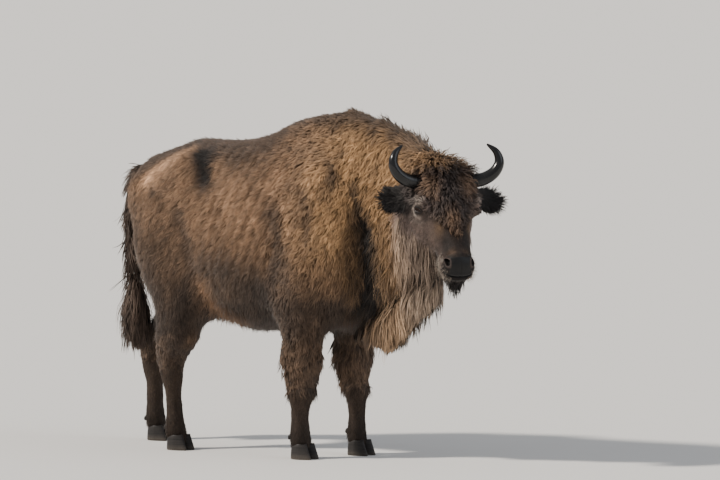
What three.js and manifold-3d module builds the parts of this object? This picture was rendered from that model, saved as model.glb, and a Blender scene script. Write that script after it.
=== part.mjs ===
// A European bison, or wisent: an adult cow that stands still on all four feet, head low, turned to its right.
// Millimetres, +X to the front of the body, +Y to its left, +Z up, hooves on Z = 0. Each solid reaches out
// to the tips of the coat. The flesh is one field of blended forms, cut into named parts by thin planes.
import * as THREE from "three";
import { mergeVertices } from "three/addons/utils/BufferGeometryUtils.js";
import Module from "manifold-3d";

// ---- Driving dimensions ----
const GAP = 0.5; // left between neighbouring solids
const FAR = 4000; // a length past the whole animal

// The torso from the rump to the nape, along X. Each row is one section: x, top, bottom, half width,
// height of the widest level, y of the middle, roundness above and below that level
const TORSO = [
  [-700, 1270, 960, 100, 1120, 0, 2.0, 2.0],
  [-640, 1346, 880, 134, 1130, 0, 1.9, 2.0],
  [-560, 1390, 790, 180, 1120, 0, 1.9, 2.0],
  [-430, 1430, 710, 232, 1110, 0, 2.0, 2.0],
  [-260, 1478, 680, 262, 1080, 0, 2.1, 2.1],
  [-120, 1472, 632, 292, 1010, 0, 2.1, 2.2],
  [50, 1488, 570, 322, 960, 0, 1.9, 2.2],
  [200, 1536, 565, 332, 960, 0, 1.7, 2.2],
  [350, 1602, 590, 315, 970, 0, 1.6, 2.2],
  [500, 1638, 604, 292, 980, 0, 1.55, 2.1],
  [640, 1656, 600, 270, 1000, 0, 1.5, 2.0],
  [780, 1638, 630, 235, 1040, -5, 1.5, 2.0],
  [930, 1585, 740, 190, 1090, -20, 1.6, 2.0],
  [1050, 1524, 830, 168, 1130, -45, 1.8, 2.0],
  [1160, 1466, 905, 155, 1170, -72, 1.9, 2.0],
  [1260, 1420, 960, 145, 1180, -95, 2.0, 2.0],
];
const RUMP = { end: -632, softness: 110 };
const NAPE = { end: 1215, softness: 60 };
// What stands out of the torso on both sides
const SWELLINGS = [
  { part: "hip bone", at: [-185, 186, 1372], size: [80, 52, 50], softness: 100 },
  { part: "pin bone", at: [-570, 118, 1215], size: [70, 60, 80], softness: 90 },
  { part: "shoulder", at: [600, 190, 1120], size: [170, 105, 300], softness: 90 },
  { part: "point of shoulder", at: [690, 190, 930], size: [120, 90, 120], softness: 90 },
  { part: "thigh", at: [-305, 160, 1010], size: [190, 94, 285], softness: 110 },
];
// The hollow of the flank, in front of the hip
const HOLLOW = { at: [-62, 268, 1330], size: [72, 66, 95], softness: 60 };

// The head in its own frame: x down the face from the poll, y to the animal's left, z out of the forehead.
const POLL = [1230, -86, 1372];
const HEAD_TURN = 35; // degrees to the right of the body
const HEAD_PITCH = 57; // degrees of the face below the level
// x, top, bottom, half width, level of the widest, y of the middle, roundness above and below
const HEAD = [
  [-70, 10, -190, 120, -80, 0, 2.0, 2.0],
  [0, 42, -235, 148, -70, 0, 2.1, 2.0],
  [70, 46, -262, 156, -74, 0, 2.2, 2.2],
  [150, 38, -276, 144, -88, 0, 2.2, 2.3],
  [230, 24, -262, 118, -95, 0, 2.1, 2.3],
  [310, 13, -218, 96, -88, 0, 2.0, 2.2],
  [380, 8, -180, 80, -80, 0, 2.0, 2.1],
  [440, 6, -160, 77, -72, 0, 2.2, 2.1],
  [485, -6, -160, 76, -78, 0, 2.4, 2.1],
  [515, -26, -162, 72, -90, 0, 2.4, 2.1],
  [545, -56, -158, 62, -105, 0, 2.3, 2.1],
];
const HEAD_BACK = { at: -60, softness: 70 };
const NOSE_END = { at: 534, softness: 60 };
const EYE = { at: [180, 135, -46], radius: 23 };
const BROW = { at: [140, 116, -36], size: [50, 30, 34], softness: 40 };
const JAW_MUSCLE = { at: [190, 100, -200], size: [95, 40, 68], softness: 50 };
const THROAT = { at: [60, 0, -190], size: [150, 105, 120] };
const MOUTH_PLANE = { at: [532, 0, -66], tilt: -17 }; // the cut between upper and lower jaw, degrees
const JAW_BACK = [215, 0, -200];
const HORN_PATH = [
  [40, 92, -34],
  [47, 148, -20],
  [42, 194, -4],
  [22, 234, 18],
  [-14, 255, 42],
  [-58, 243, 60],
  [-98, 204, 64],
];
const HORN_RADII = [32, 30, 27.5, 25, 20, 13.5, 5];
const EAR = {
  root: [86, 118, -92],
  tips: { right: [84, 306, -118], left: [108, 306, -118] },
  half_heights: [28, 38, 56, 67, 67, 54, 32],
  half_depths: [26, 30, 32, 30, 26, 19, 11],
  cup: 1.25, // one is a flat front, more is hollow
};

// Legs: joints from top to bottom as [x, y, z, radius, share of the stride it takes]
const FORELEG = [
  [560, 205, 900, 150, 0.1],
  [470, 200, 745, 124, 0.2],
  [480, 182, 600, 104, 0.3],
  [485, 168, 470, 94, 0.4],
  [487, 163, 375, 77, 0.6],
  [484, 162, 300, 52, 0.8],
  [482, 160, 205, 40, 1.0],
  [480, 158, 125, 47, 1.0],
  [500, 158, 66, 44, 1.0],
];
const HINDLEG = [
  [-355, 138, 960, 148, 0.0],
  [-322, 166, 780, 132, 0.25],
  [-335, 180, 680, 128, 0.6],
  [-400, 176, 565, 106, 0.8],
  [-482, 168, 445, 72, 1.0],
  [-480, 164, 345, 53, 1.0],
  [-472, 160, 215, 41, 1.0],
  [-468, 158, 125, 48, 1.0],
  [-446, 158, 66, 44, 1.0],
];
const LEG_SOFTNESS = 30;
// The point of the hock, the edge that runs down from it, and the tendon that runs up from it
const HOCK_POINT = { back: 50, up: 35, radius: 30 };
const HOCK_EDGE = { back: 20, down: 70, radius: 26, softness: 40 };
const TENDON = { back: 90, down: 20, from: 22, to: 40, softness: 60 };
// How softly the parts run into each other
const JOINING = { foreleg: 70, hindleg: 90, throat: 90, head: 60 };
const STRIDES = { fore: { right: -42, left: 46 }, hind: { right: 158, left: -222 } };
const LEG_CUT = 556; // legs and trunk part here
const CARPUS_CUT = 335;
const HOCK_CUT = 390;
const CORONET = 74; // height of the top of the claws
const CLAW = { length: 118, width: 49, height: 72, splay: 3, toe_lean: 30 };
const DEWCLAW = { radius: 15, length: 34, height: 118, back: 46, side: 24 };

const TAIL_PATH = [
  [-622, 0, 1318],
  [-678, 2, 1250],
  [-698, 4, 1100],
  [-694, 8, 950],
  [-690, 10, 800],
];
const TAIL_RADII = [52, 50, 46, 44, 40];
const TUFT_PATH = [
  [-690, 10, 815],
  [-694, 12, 720],
  [-690, 14, 620],
  [-680, 16, 520],
  [-672, 16, 450],
];
const TUFT_RADII = [42, 58, 60, 44, 14];

// Hair that hangs from the throat: x, top, bottom, half width at the top
const MANE = [
  [600, 700, 560, 90],
  [700, 760, 540, 112],
  [800, 820, 505, 118],
  [880, 860, 495, 115],
  [970, 900, 580, 110],
  [1070, 960, 660, 100],
  [1160, 1010, 705, 84],
  [1215, 1040, 750, 64],
];
const MANE_SHAPE = { bottom_width: 0.35, bottom: 60, top: 20, ends: 60 };
const THROAT_CUT = { at: [700, 0, 640], to: [1180, 0, 960], front: 1218 };
// The beard, down from the chin: head x, head z, half length, half width
const BEARD = [
  [440, -135, 88, 48],
  [475, -178, 80, 44],
  [505, -212, 58, 32],
  [535, -240, 34, 19],
  [560, -262, 13, 8],
];

// The planes between head, neck and trunk, and how far each part's grid of cells reaches
const NECK_AT = [880, 0, 1100];
const NECK_NORMAL = [1, -0.05, 0.12];
const HEAD_CUT = { at: [-20, 0, -90], normal: [0.62, 0, 0.78] };
const HEAD_BOX = [[940, -480, 640], [1640, 220, 1560]];
const MANE_BOX = [[600, -260, 440], [1320, 200, 1060]];
const NECK_BOX = [[740, -330, 600], [1420, 300, 1700]];
const TRUNK_BOX = [[-900, -460, 478], [1100, 460, 1720]];
const LEG_BOX = { inner: 10, outer: 360, ahead: 170, above: 100 };

const COLOURS = {
  flank: 0x5b4030,
  hump: 0x6b4a2c,
  head: 0x33261f,
  leg: 0x3a2a21,
  tail: 0x2b211c,
  ear: 0x1d1714,
  mane: 0x6a4d33,
  horn: 0x24211f,
  hoof: 0x2a2624,
  eye: 0x120d0a,
};

const HEAD_CELL = 33;
const NECK_CELL = 63;
const TRUNK_CELL = 90;
const LEG_CELL = 56;
const FOOT_CELL = 40;

// ---- Fields: negative inside, in mm ----
const clamp = (v, low, high) => Math.min(Math.max(v, low), high);
const blend = (a, b, k) => {
  const h = Math.max(k - Math.abs(a - b), 0) / k;
  return Math.min(a, b) - (h * h * k) / 4;
};
const carve = (a, b, k) => -blend(-a, b, k); // a without b

// A row of a table at x, on a smooth curve through the rows.
function rowAt(rows, x) {
  const last = rows.length - 1;
  const at = clamp(x, rows[0][0], rows[last][0]);
  let i = 0;
  while (i < last - 1 && rows[i + 1][0] < at) i++;
  const span = rows[i + 1][0] - rows[i][0];
  const t = (at - rows[i][0]) / span;
  const before = rows[Math.max(i - 1, 0)];
  const after = rows[Math.min(i + 2, last)];
  const slopeIn = span / (rows[i + 1][0] - before[0]);
  const slopeOut = span / (after[0] - rows[i][0]);
  return rows[i].map((a, c) => {
    const b = rows[i + 1][c];
    const m0 = (b - before[c]) * slopeIn;
    const m1 = (after[c] - a) * slopeOut;
    const t2 = t * t;
    const t3 = t2 * t;
    return (2 * t3 - 3 * t2 + 1) * a + (t3 - 2 * t2 + t) * m0 + (3 * t2 - 2 * t3) * b + (t3 - t2) * m1;
  });
}

// Distance to a form given by sections along x.
function sectionField(rows, x, y, z) {
  const [, top, bottom, half, widest, middle, above, below] = rowAt(rows, x);
  const dy = Math.abs(y - middle);
  const dz = z - widest;
  const power = dz > 0 ? above : below;
  const reach = dz > 0 ? top - widest : widest - bottom;
  const r = Math.pow(Math.pow(dy / half, power) + Math.pow(Math.abs(dz) / reach, power), 1 / power);
  const q = Math.hypot(dy, dz);
  return r < 1e-3 ? -Math.min(half, reach) : q - q / r;
}

function ellipsoid(x, y, z, [cx, cy, cz], [rx, ry, rz]) {
  const a = (x - cx) / rx;
  const b = (y - cy) / ry;
  const c = (z - cz) / rz;
  const k0 = Math.hypot(a, b, c);
  const k1 = Math.hypot(a / rx, b / ry, c / rz);
  return k1 < 1e-9 ? -Math.min(rx, ry, rz) : (k0 * (k0 - 1)) / k1;
}

// A rod from a to b whose radius goes from ra to rb.
function rod(x, y, z, a, b, ra, rb) {
  const ux = b[0] - a[0];
  const uy = b[1] - a[1];
  const uz = b[2] - a[2];
  const px = x - a[0];
  const py = y - a[1];
  const pz = z - a[2];
  const t = clamp((px * ux + py * uy + pz * uz) / (ux * ux + uy * uy + uz * uz), 0, 1);
  return Math.hypot(px - t * ux, py - t * uy, pz - t * uz) - (ra + (rb - ra) * t);
}

function chain(x, y, z, path, radii, softness) {
  let d = Infinity;
  for (let i = 0; i + 1 < path.length; i++) {
    const part = rod(x, y, z, path[i], path[i + 1], radii[i], radii[i + 1]);
    d = d === Infinity ? part : blend(d, part, softness);
  }
  return d;
}

// ---- The head's frame ----
const turn = THREE.MathUtils.degToRad(HEAD_TURN);
const pitch = THREE.MathUtils.degToRad(HEAD_PITCH);
const headMatrix = new THREE.Matrix4()
  .makeTranslation(...POLL)
  .multiply(new THREE.Matrix4().makeRotationZ(-turn))
  .multiply(new THREE.Matrix4().makeRotationY(pitch));
const toHead = headMatrix.clone().invert().elements;
const inHead = (x, y, z) => [
  toHead[0] * x + toHead[4] * y + toHead[8] * z + toHead[12],
  toHead[1] * x + toHead[5] * y + toHead[9] * z + toHead[13],
  toHead[2] * x + toHead[6] * y + toHead[10] * z + toHead[14],
];
const fromHead = (p) => new THREE.Vector3(...p).applyMatrix4(headMatrix);
const mirrored = ([x, y, z], side) => [x, y * side, z];

// ---- The flesh ----
function legPath(joints, side, stride) {
  return joints.map(([x, y, z, , share]) => [x + stride * share, y * side, z]);
}
const SIDES = { right: -1, left: 1 };
function makeLeg(name, side, joints, stride, fore) {
  return { name, side, joints, path: legPath(joints, side, stride), fore };
}
const LEGS = Object.entries(SIDES).flatMap(([name, side]) => [
  makeLeg(`foreleg_${name}`, side, FORELEG, STRIDES.fore[name], true),
  makeLeg(`hindleg_${name}`, side, HINDLEG, STRIDES.hind[name], false),
]);

function legField(leg, x, y, z) {
  const d = chain(x, y, z, leg.path, leg.joints.map((j) => j[3]), LEG_SOFTNESS);
  if (leg.fore) return d;
  const [hx, hy, hz] = leg.path[4];
  const [tx, , tz] = leg.path[2];
  const point = [hx - HOCK_POINT.back, hy, hz + HOCK_POINT.up];
  const edgeEnd = [hx - HOCK_EDGE.back, hy, hz - HOCK_EDGE.down];
  const edge = rod(x, y, z, point, edgeEnd, HOCK_POINT.radius, HOCK_EDGE.radius);
  const tendon = rod(x, y, z, point, [tx - TENDON.back, hy, tz - TENDON.down], TENDON.from, TENDON.to);
  return blend(blend(d, edge, HOCK_EDGE.softness), tendon, TENDON.softness);
}

function torsoField(x, y, z) {
  let d = sectionField(TORSO, x, y, z);
  d = carve(d, x - RUMP.end, RUMP.softness);
  d = carve(d, NAPE.end - x, NAPE.softness);
  const ay = Math.abs(y);
  for (const { at, size, softness } of SWELLINGS) d = blend(d, ellipsoid(x, ay, z, at, size), softness);
  return carve(d, ellipsoid(x, ay, z, HOLLOW.at, HOLLOW.size), HOLLOW.softness);
}

function headField(x, y, z) {
  const [hx, hy, hz] = inHead(x, y, z);
  const ay = Math.abs(hy);
  let d = sectionField(HEAD, hx, ay, hz);
  d = carve(d, hx - HEAD_BACK.at, HEAD_BACK.softness);
  d = carve(d, NOSE_END.at - hx, NOSE_END.softness);
  for (const { at, size, softness } of [BROW, JAW_MUSCLE])
    d = blend(d, ellipsoid(hx, ay, hz, at, size), softness);
  return d;
}

const throatField = (x, y, z) => ellipsoid(...inHead(x, y, z), THROAT.at, THROAT.size);

function fleshField(x, y, z) {
  let d = torsoField(x, y, z);
  for (const leg of LEGS) d = blend(d, legField(leg, x, y, z), leg.fore ? JOINING.foreleg : JOINING.hindleg);
  d = blend(d, throatField(x, y, z), JOINING.throat);
  return blend(d, headField(x, y, z), JOINING.head);
}

function maneField(x, y, z) {
  const [, top, bottom, half] = rowAt(MANE, x);
  const share = clamp((z - bottom) / (top - bottom), 0, 1);
  const middle = rowAt(TORSO, x)[5];
  const { bottom_width: narrow, bottom: bottomSoft, top: topSoft, ends } = MANE_SHAPE;
  const width = half * (narrow + (1 - narrow) * Math.sqrt(share));
  let d = Math.abs(y - middle) - width;
  d = carve(d, z - bottom, bottomSoft);
  d = carve(d, top - z, topSoft);
  d = carve(d, x - MANE[0][0], ends);
  return carve(d, MANE[MANE.length - 1][0] - x, ends);
}

// ---- Faceted surface of a field inside a box ----
function polygonize(field, low, high, cell) {
  const n = [0, 1, 2].map((i) => Math.ceil((high[i] - low[i]) / cell) + 2);
  const start = low.map((v) => v - cell);
  const at = (i, j, k) => (i * n[1] + j) * n[2] + k;
  const point = (i, j, k) => [start[0] + i * cell, start[1] + j * cell, start[2] + k * cell];
  const inBox = (p) => Math.max(...p.map((v, i) => Math.max(low[i] - v, v - high[i])));
  const clipped = (p) => Math.max(field(...p), inBox(p));
  const values = new Float64Array(n[0] * n[1] * n[2]);
  for (let i = 0; i < n[0]; i++)
    for (let j = 0; j < n[1]; j++)
      for (let k = 0; k < n[2]; k++) values[at(i, j, k)] = clipped(point(i, j, k)) || 1e-6;

  const corners = [0, 1, 2, 3, 4, 5, 6, 7].map((c) => [c & 1, (c >> 1) & 1, c >> 2]);
  const edges = corners.flatMap((a, i) =>
    corners.flatMap((b, j) => (j > i && a.filter((v, m) => v !== b[m]).length === 1 ? [[i, j]] : [])),
  );
  const cellVertex = new Map();
  const positions = [];
  for (let i = 0; i + 1 < n[0]; i++)
    for (let j = 0; j + 1 < n[1]; j++)
      for (let k = 0; k + 1 < n[2]; k++) {
        const v = corners.map(([a, b, c]) => values[at(i + a, j + b, k + c)]);
        const inside = v.filter((d) => d < 0).length;
        if (inside === 0 || inside === 8) continue;
        const sum = [0, 0, 0];
        let count = 0;
        for (const [a, b] of edges) {
          if (v[a] < 0 === v[b] < 0) continue;
          const t = v[a] / (v[a] - v[b]);
          const pa = point(i + corners[a][0], j + corners[a][1], k + corners[a][2]);
          const pb = point(i + corners[b][0], j + corners[b][1], k + corners[b][2]);
          for (let m = 0; m < 3; m++) sum[m] += pa[m] + (pb[m] - pa[m]) * t;
          count++;
        }
        let p = sum.map((s) => s / count);
        p = ontoSurface(clipped, p, cell);
        cellVertex.set(at(i, j, k), positions.length / 3);
        positions.push(...p);
      }

  const index = [];
  const distance = (a, b) =>
    Math.hypot(...[0, 1, 2].map((m) => positions[3 * a + m] - positions[3 * b + m]));
  const quad = (a, b, c, d, flip) => {
    const q = flip ? [a, d, c, b] : [a, b, c, d];
    if (distance(q[0], q[2]) < distance(q[1], q[3])) index.push(q[0], q[1], q[2], q[0], q[2], q[3]);
    else index.push(q[0], q[1], q[3], q[1], q[2], q[3]);
  };
  const vertex = (i, j, k) => cellVertex.get(at(i, j, k));
  for (let i = 1; i + 1 < n[0]; i++)
    for (let j = 1; j + 1 < n[1]; j++)
      for (let k = 1; k + 1 < n[2]; k++) {
        const here = values[at(i, j, k)] < 0;
        if (here !== values[at(i + 1, j, k)] < 0)
          quad(vertex(i, j - 1, k - 1), vertex(i, j, k - 1), vertex(i, j, k), vertex(i, j - 1, k), !here);
        if (here !== values[at(i, j + 1, k)] < 0)
          quad(vertex(i - 1, j, k - 1), vertex(i - 1, j, k), vertex(i, j, k), vertex(i, j, k - 1), !here);
        if (here !== values[at(i, j, k + 1)] < 0)
          quad(vertex(i - 1, j - 1, k), vertex(i, j - 1, k), vertex(i, j, k), vertex(i - 1, j, k), !here);
      }
  return new THREE.BufferGeometry()
    .setAttribute("position", new THREE.Float32BufferAttribute(positions, 3))
    .setIndex(index);
}

// Moves a point onto the zero of a field, by at most half a cell.
function ontoSurface(field, start, cell) {
  const e = 1;
  let p = start;
  for (let step = 0; step < 3; step++) {
    const d = field(p);
    const g = [0, 1, 2].map((m) => {
      const a = [...p];
      const b = [...p];
      a[m] += e;
      b[m] -= e;
      return (field(a) - field(b)) / (2 * e);
    });
    const size = g.reduce((s, v) => s + v * v, 0);
    if (size < 1e-4) break;
    const next = p.map((v, m) => v - (g[m] * d) / size);
    p = next.map((v, m) => clamp(v, start[m] - cell / 2, start[m] + cell / 2));
  }
  return p;
}

// ---- Solids ----
const wasm = await Module();
wasm.setup();

function solid(geometry) {
  const g = geometry.index ? geometry.toNonIndexed() : geometry.clone();
  g.deleteAttribute("normal");
  g.deleteAttribute("uv");
  const merged = mergeVertices(g, 1e-3);
  return new wasm.Manifold(
    new wasm.Mesh({
      numProp: 3,
      vertProperties: merged.attributes.position.array,
      triVerts: new Uint32Array(merged.index.array),
    }),
  );
}

// The same surface, each vertex moved out along its normal.
function grown(geometry, by = GAP) {
  const g = geometry.clone();
  g.deleteAttribute("uv");
  g.deleteAttribute("normal");
  const merged = mergeVertices(g, 1e-3);
  merged.computeVertexNormals();
  const { position, normal } = merged.attributes;
  for (let i = 0; i < position.count; i++)
    position.setXYZ(
      i,
      position.getX(i) + normal.getX(i) * by,
      position.getY(i) + normal.getY(i) * by,
      position.getZ(i) + normal.getZ(i) * by,
    );
  return solid(merged);
}

function toMesh(name, made, colour, roughness = 0.9) {
  const m = made.getMesh();
  const step = m.numProp;
  const positions = [];
  for (let i = 0; i < m.numVert; i++) positions.push(...m.vertProperties.subarray(i * step, i * step + 3));
  const geometry = new THREE.BufferGeometry()
    .setAttribute("position", new THREE.Float32BufferAttribute(positions, 3))
    .setIndex(new THREE.BufferAttribute(new Uint32Array(m.triVerts), 1));
  geometry.computeVertexNormals();
  const material = new THREE.MeshStandardMaterial({ color: colour, roughness, metalness: 0 });
  const mesh = new THREE.Mesh(geometry, material);
  mesh.name = name;
  return mesh;
}

// A half space: all that lies on the side that the normal points to, half a gap clear of the plane.
function halfSpace(at, normal) {
  const n = new THREE.Vector3(...normal).normalize();
  const box = new THREE.BoxGeometry(FAR, FAR, FAR);
  box.translate(0, 0, FAR / 2 + GAP / 2);
  box.applyQuaternion(new THREE.Quaternion().setFromUnitVectors(new THREE.Vector3(0, 0, 1), n));
  box.translate(...at);
  return solid(box);
}
const opposite = (v) => v.map((c) => -c);
const kept = (made, planes) => planes.reduce((s, [at, normal]) => s.intersect(halfSpace(at, normal)), made);

const largest = (made) => made.decompose().reduce((a, b) => (b.volume() > a.volume() ? b : a));

// The planes between parts, as a point and the direction of the part named first.
const headAxis = (v) => new THREE.Vector3(...v).transformDirection(headMatrix).toArray();
const HEAD_AT = fromHead(HEAD_CUT.at).toArray();
const HEAD_NORMAL = headAxis(HEAD_CUT.normal);
const THROAT_NORMAL = [THROAT_CUT.to[2] - THROAT_CUT.at[2], 0, THROAT_CUT.at[0] - THROAT_CUT.to[0]];
const MOUTH_AT = fromHead(MOUTH_PLANE.at).toArray();
const mouthTilt = THREE.MathUtils.degToRad(MOUTH_PLANE.tilt);
const MOUTH_NORMAL = headAxis([Math.sin(mouthTilt), 0, Math.cos(mouthTilt)]);
const JAW_BACK_AT = fromHead(JAW_BACK).toArray();
const JAW_BACK_NORMAL = headAxis([1, 0, 0]);

const parts = new THREE.Group();
const add = (...meshes) => parts.add(...meshes);

// Head, with its horns, ears and eyes
const headSurface = polygonize(fleshField, ...HEAD_BOX, HEAD_CELL);
const throatBlock = halfSpace(THROAT_CUT.at, THROAT_NORMAL).intersect(
  halfSpace([THROAT_CUT.front, 0, 0], [-1, 0, 0]),
);
const maneSurface = polygonize(maneField, ...MANE_BOX, NECK_CELL);
const headWhole = kept(solid(headSurface), [[HEAD_AT, HEAD_NORMAL]])
  .subtract(throatBlock)
  .subtract(grown(maneSurface));
const jawBlock = halfSpace(MOUTH_AT, opposite(MOUTH_NORMAL)).intersect(
  halfSpace(JAW_BACK_AT, JAW_BACK_NORMAL),
);
const moved = (at, normal, by) => at.map((v, i) => v + normal[i] * by);
const jawBlockWide = halfSpace(moved(MOUTH_AT, MOUTH_NORMAL, GAP), opposite(MOUTH_NORMAL)).intersect(
  halfSpace(moved(JAW_BACK_AT, JAW_BACK_NORMAL, -GAP), JAW_BACK_NORMAL),
);
let head = headWhole.subtract(jawBlockWide);
const jaw = headWhole.intersect(jawBlock);

// A closed skin over rings of points, fanned to a point at each end.
function loft(rings, firstPoint, lastPoint) {
  const sides = rings[0].length;
  const positions = [firstPoint, ...rings.flat(), lastPoint].flatMap((p) => [p.x, p.y, p.z]);
  const last = rings.length - 1;
  const tip = rings.length * sides + 1;
  const ring = (i, j) => 1 + i * sides + (j % sides);
  const index = [];
  for (let j = 0; j < sides; j++) {
    index.push(0, ring(0, j + 1), ring(0, j));
    for (let i = 0; i < last; i++) {
      index.push(ring(i, j), ring(i, j + 1), ring(i + 1, j));
      index.push(ring(i, j + 1), ring(i + 1, j + 1), ring(i + 1, j));
    }
    index.push(ring(last, j), ring(last, j + 1), tip);
  }
  return new THREE.BufferGeometry()
    .setAttribute("position", new THREE.Float32BufferAttribute(positions, 3))
    .setIndex(index);
}

const vector = (p) => new THREE.Vector3(...p);
const alongTable = (values, t) => rowAt(values.map((v, i) => [i / (values.length - 1), v]), t)[1];

// A round tube along a curve, its radius given at each point of the path.
function taperedTube(path, radii, steps, sides) {
  const curve = new THREE.CatmullRomCurve3(path.map(vector));
  const frames = curve.computeFrenetFrames(steps, false);
  const rings = frames.normals.map((normal, i) => {
    const radius = alongTable(radii, i / steps);
    return Array.from({ length: sides }, (_, j) => {
      const angle = (2 * Math.PI * j) / sides;
      return curve
        .getPointAt(i / steps)
        .addScaledVector(normal, Math.cos(angle) * radius)
        .addScaledVector(frames.binormals[i], Math.sin(angle) * radius);
    });
  });
  return loft(rings, curve.getPointAt(0), curve.getPointAt(1));
}

// An ear: a leaf-shaped cup that opens to the front, in the head's frame.
function earShape(name, side) {
  const root = vector(EAR.root);
  const tip = vector(EAR.tips[name]);
  const along = tip.clone().sub(root);
  const up = new THREE.Vector3(-1, 0, 0).addScaledVector(along, along.x / along.lengthSq()).normalize();
  const out = new THREE.Vector3().crossVectors(up, along).normalize().multiplyScalar(-1);
  const rings = EAR.half_heights.map((half, i) => {
    const t = (i + 0.4) / EAR.half_heights.length;
    const depth = EAR.half_depths[i];
    return Array.from({ length: 8 }, (_, j) => {
      const angle = (2 * Math.PI * j) / 8;
      const rise = Math.cos(angle) * half;
      const swell = Math.sin(angle);
      const open = EAR.cup * clamp(3 * t - 0.5, 0, 1);
      const away = swell > 0 ? swell * depth * (1 - open) : swell * depth;
      return root.clone().addScaledVector(along, t).addScaledVector(up, rise).addScaledVector(out, away);
    });
  });
  const geometry = loft(rings, root, tip);
  return side > 0 ? geometry : turnedOver(geometry);
}

// The mirror image in the head's middle plane.
function turnedOver(geometry) {
  const g = geometry.clone().scale(1, -1, 1);
  const { array } = g.index;
  for (let i = 0; i < array.length; i += 3) [array[i], array[i + 1]] = [array[i + 1], array[i]];
  return g;
}

for (const [name, side] of Object.entries(SIDES)) {
  const hornLeft = taperedTube(HORN_PATH, HORN_RADII, 10, 8);
  const hornSurface = (side > 0 ? hornLeft : turnedOver(hornLeft)).applyMatrix4(headMatrix);
  add(toMesh(`horn_${name}`, solid(hornSurface), COLOURS.horn, 0.35));
  const eyeSurface = new THREE.SphereGeometry(EYE.radius, 9, 6);
  eyeSurface.translate(...fromHead(mirrored(EYE.at, side)));
  add(toMesh(`eye_${name}`, solid(eyeSurface), COLOURS.eye, 0.1));
  const earSurface = earShape(name, side).applyMatrix4(headMatrix);
  head = head.subtract(grown(hornSurface)).subtract(grown(eyeSurface)).subtract(grown(earSurface));
  add(toMesh(`ear_${name}`, solid(earSurface), COLOURS.ear));
}
add(toMesh("head", head, COLOURS.head), toMesh("lower_jaw", jaw, COLOURS.head));

// Neck, trunk and legs. Level planes cut the legs off the trunk, and each leg in two at carpus or hock.
const UP = [0, 0, 1];
const DOWN = [0, 0, -1];
const neckSurface = polygonize(fleshField, ...NECK_BOX, NECK_CELL);
const neck = kept(solid(neckSurface), [
  [THROAT_CUT.at, opposite(THROAT_NORMAL)],
  [NECK_AT, NECK_NORMAL],
  [HEAD_AT, opposite(HEAD_NORMAL)],
]);
const trunkSurface = polygonize(fleshField, ...TRUNK_BOX, TRUNK_CELL);
let trunk = kept(solid(trunkSurface), [
  [THROAT_CUT.at, opposite(THROAT_NORMAL)],
  [NECK_AT, opposite(NECK_NORMAL)],
  [[0, 0, LEG_CUT], UP],
]);
for (const leg of LEGS) {
  const joint = leg.fore ? CARPUS_CUT : HOCK_CUT;
  const xs = leg.path.filter((p) => p[2] < LEG_CUT + LEG_BOX.above).map((p) => p[0]);
  const ys = [LEG_BOX.inner * leg.side, LEG_BOX.outer * leg.side];
  const low = [Math.min(...xs) - LEG_BOX.ahead, Math.min(...ys), 0];
  const high = [Math.max(...xs) + LEG_BOX.ahead, Math.max(...ys), 0];
  const between = (from, to, cell) =>
    solid(polygonize(fleshField, [low[0], low[1], from - cell], [high[0], high[1], to + cell], cell));
  const upper = kept(between(joint, LEG_CUT, LEG_CELL), [
    [[0, 0, LEG_CUT], DOWN],
    [[0, 0, joint], UP],
  ]);
  let lower = kept(between(CORONET, joint, FOOT_CELL), [
    [[0, 0, joint], DOWN],
    [[0, 0, CORONET], UP],
  ]);
  const foot = leg.path[leg.path.length - 1];
  for (const [which, across] of Object.entries({ inner: -leg.side, outer: leg.side })) {
    const dew = dewclawShape(foot, across);
    lower = lower.subtract(grown(dew));
    add(toMesh(`claw_${leg.name}_${which}`, solid(clawShape(foot, across)), COLOURS.hoof, 0.5));
    add(toMesh(`dewclaw_${leg.name}_${which}`, solid(dew), COLOURS.hoof, 0.5));
  }
  add(toMesh(`${leg.name}_upper`, upper, COLOURS.leg), toMesh(`${leg.name}_lower`, lower, COLOURS.leg));
}

// One claw of a hoof: flat sole on the floor, steep wall, narrow toe in front and low heel behind.
function clawShape([x, y], across) {
  const { length, width, height, splay, toe_lean: lean } = CLAW;
  const rings = [0, 0.5, 1].map((level) => {
    const h = level * height;
    return Array.from({ length: 12 }, (_, j) => {
      const angle = (2 * Math.PI * j) / 12;
      const ahead = Math.cos(angle);
      const aside = Math.sin(angle);
      const front = length * 0.55 - lean * level;
      const back = length * 0.45 - 4 * level;
      const px = ahead > 0 ? front * ahead : back * ahead;
      const inward = aside * across < 0;
      const half = (width / 2) * (1 - 0.06 * level) * (ahead > 0 ? Math.pow(1 - ahead * 0.62, 0.45) : 1);
      const py = aside * half * (inward ? 0.86 : 1.1) * (ahead > 0 ? 1 - 0.1 * ahead : 1);
      const drop = level === 1 && ahead < 0 ? -14 * -ahead : 0;
      return new THREE.Vector3(x + 6 + px, y + across * (width / 2 + splay) + py, h + drop);
    });
  });
  const middle = y + across * (width / 2 + splay);
  return loft(rings, new THREE.Vector3(x + 6, middle, 0), new THREE.Vector3(x, middle, height * 0.98));
}

// One of the two small claws behind the fetlock.
function dewclawShape([x, y], across) {
  const { radius, length, height, back, side } = DEWCLAW;
  const g = new THREE.SphereGeometry(radius, 6, 5);
  g.scale(0.9, 0.8, length / (2 * radius));
  g.rotateY(THREE.MathUtils.degToRad(35));
  g.translate(x - 20 - back, y + across * side, height - 10);
  return g;
}

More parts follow.
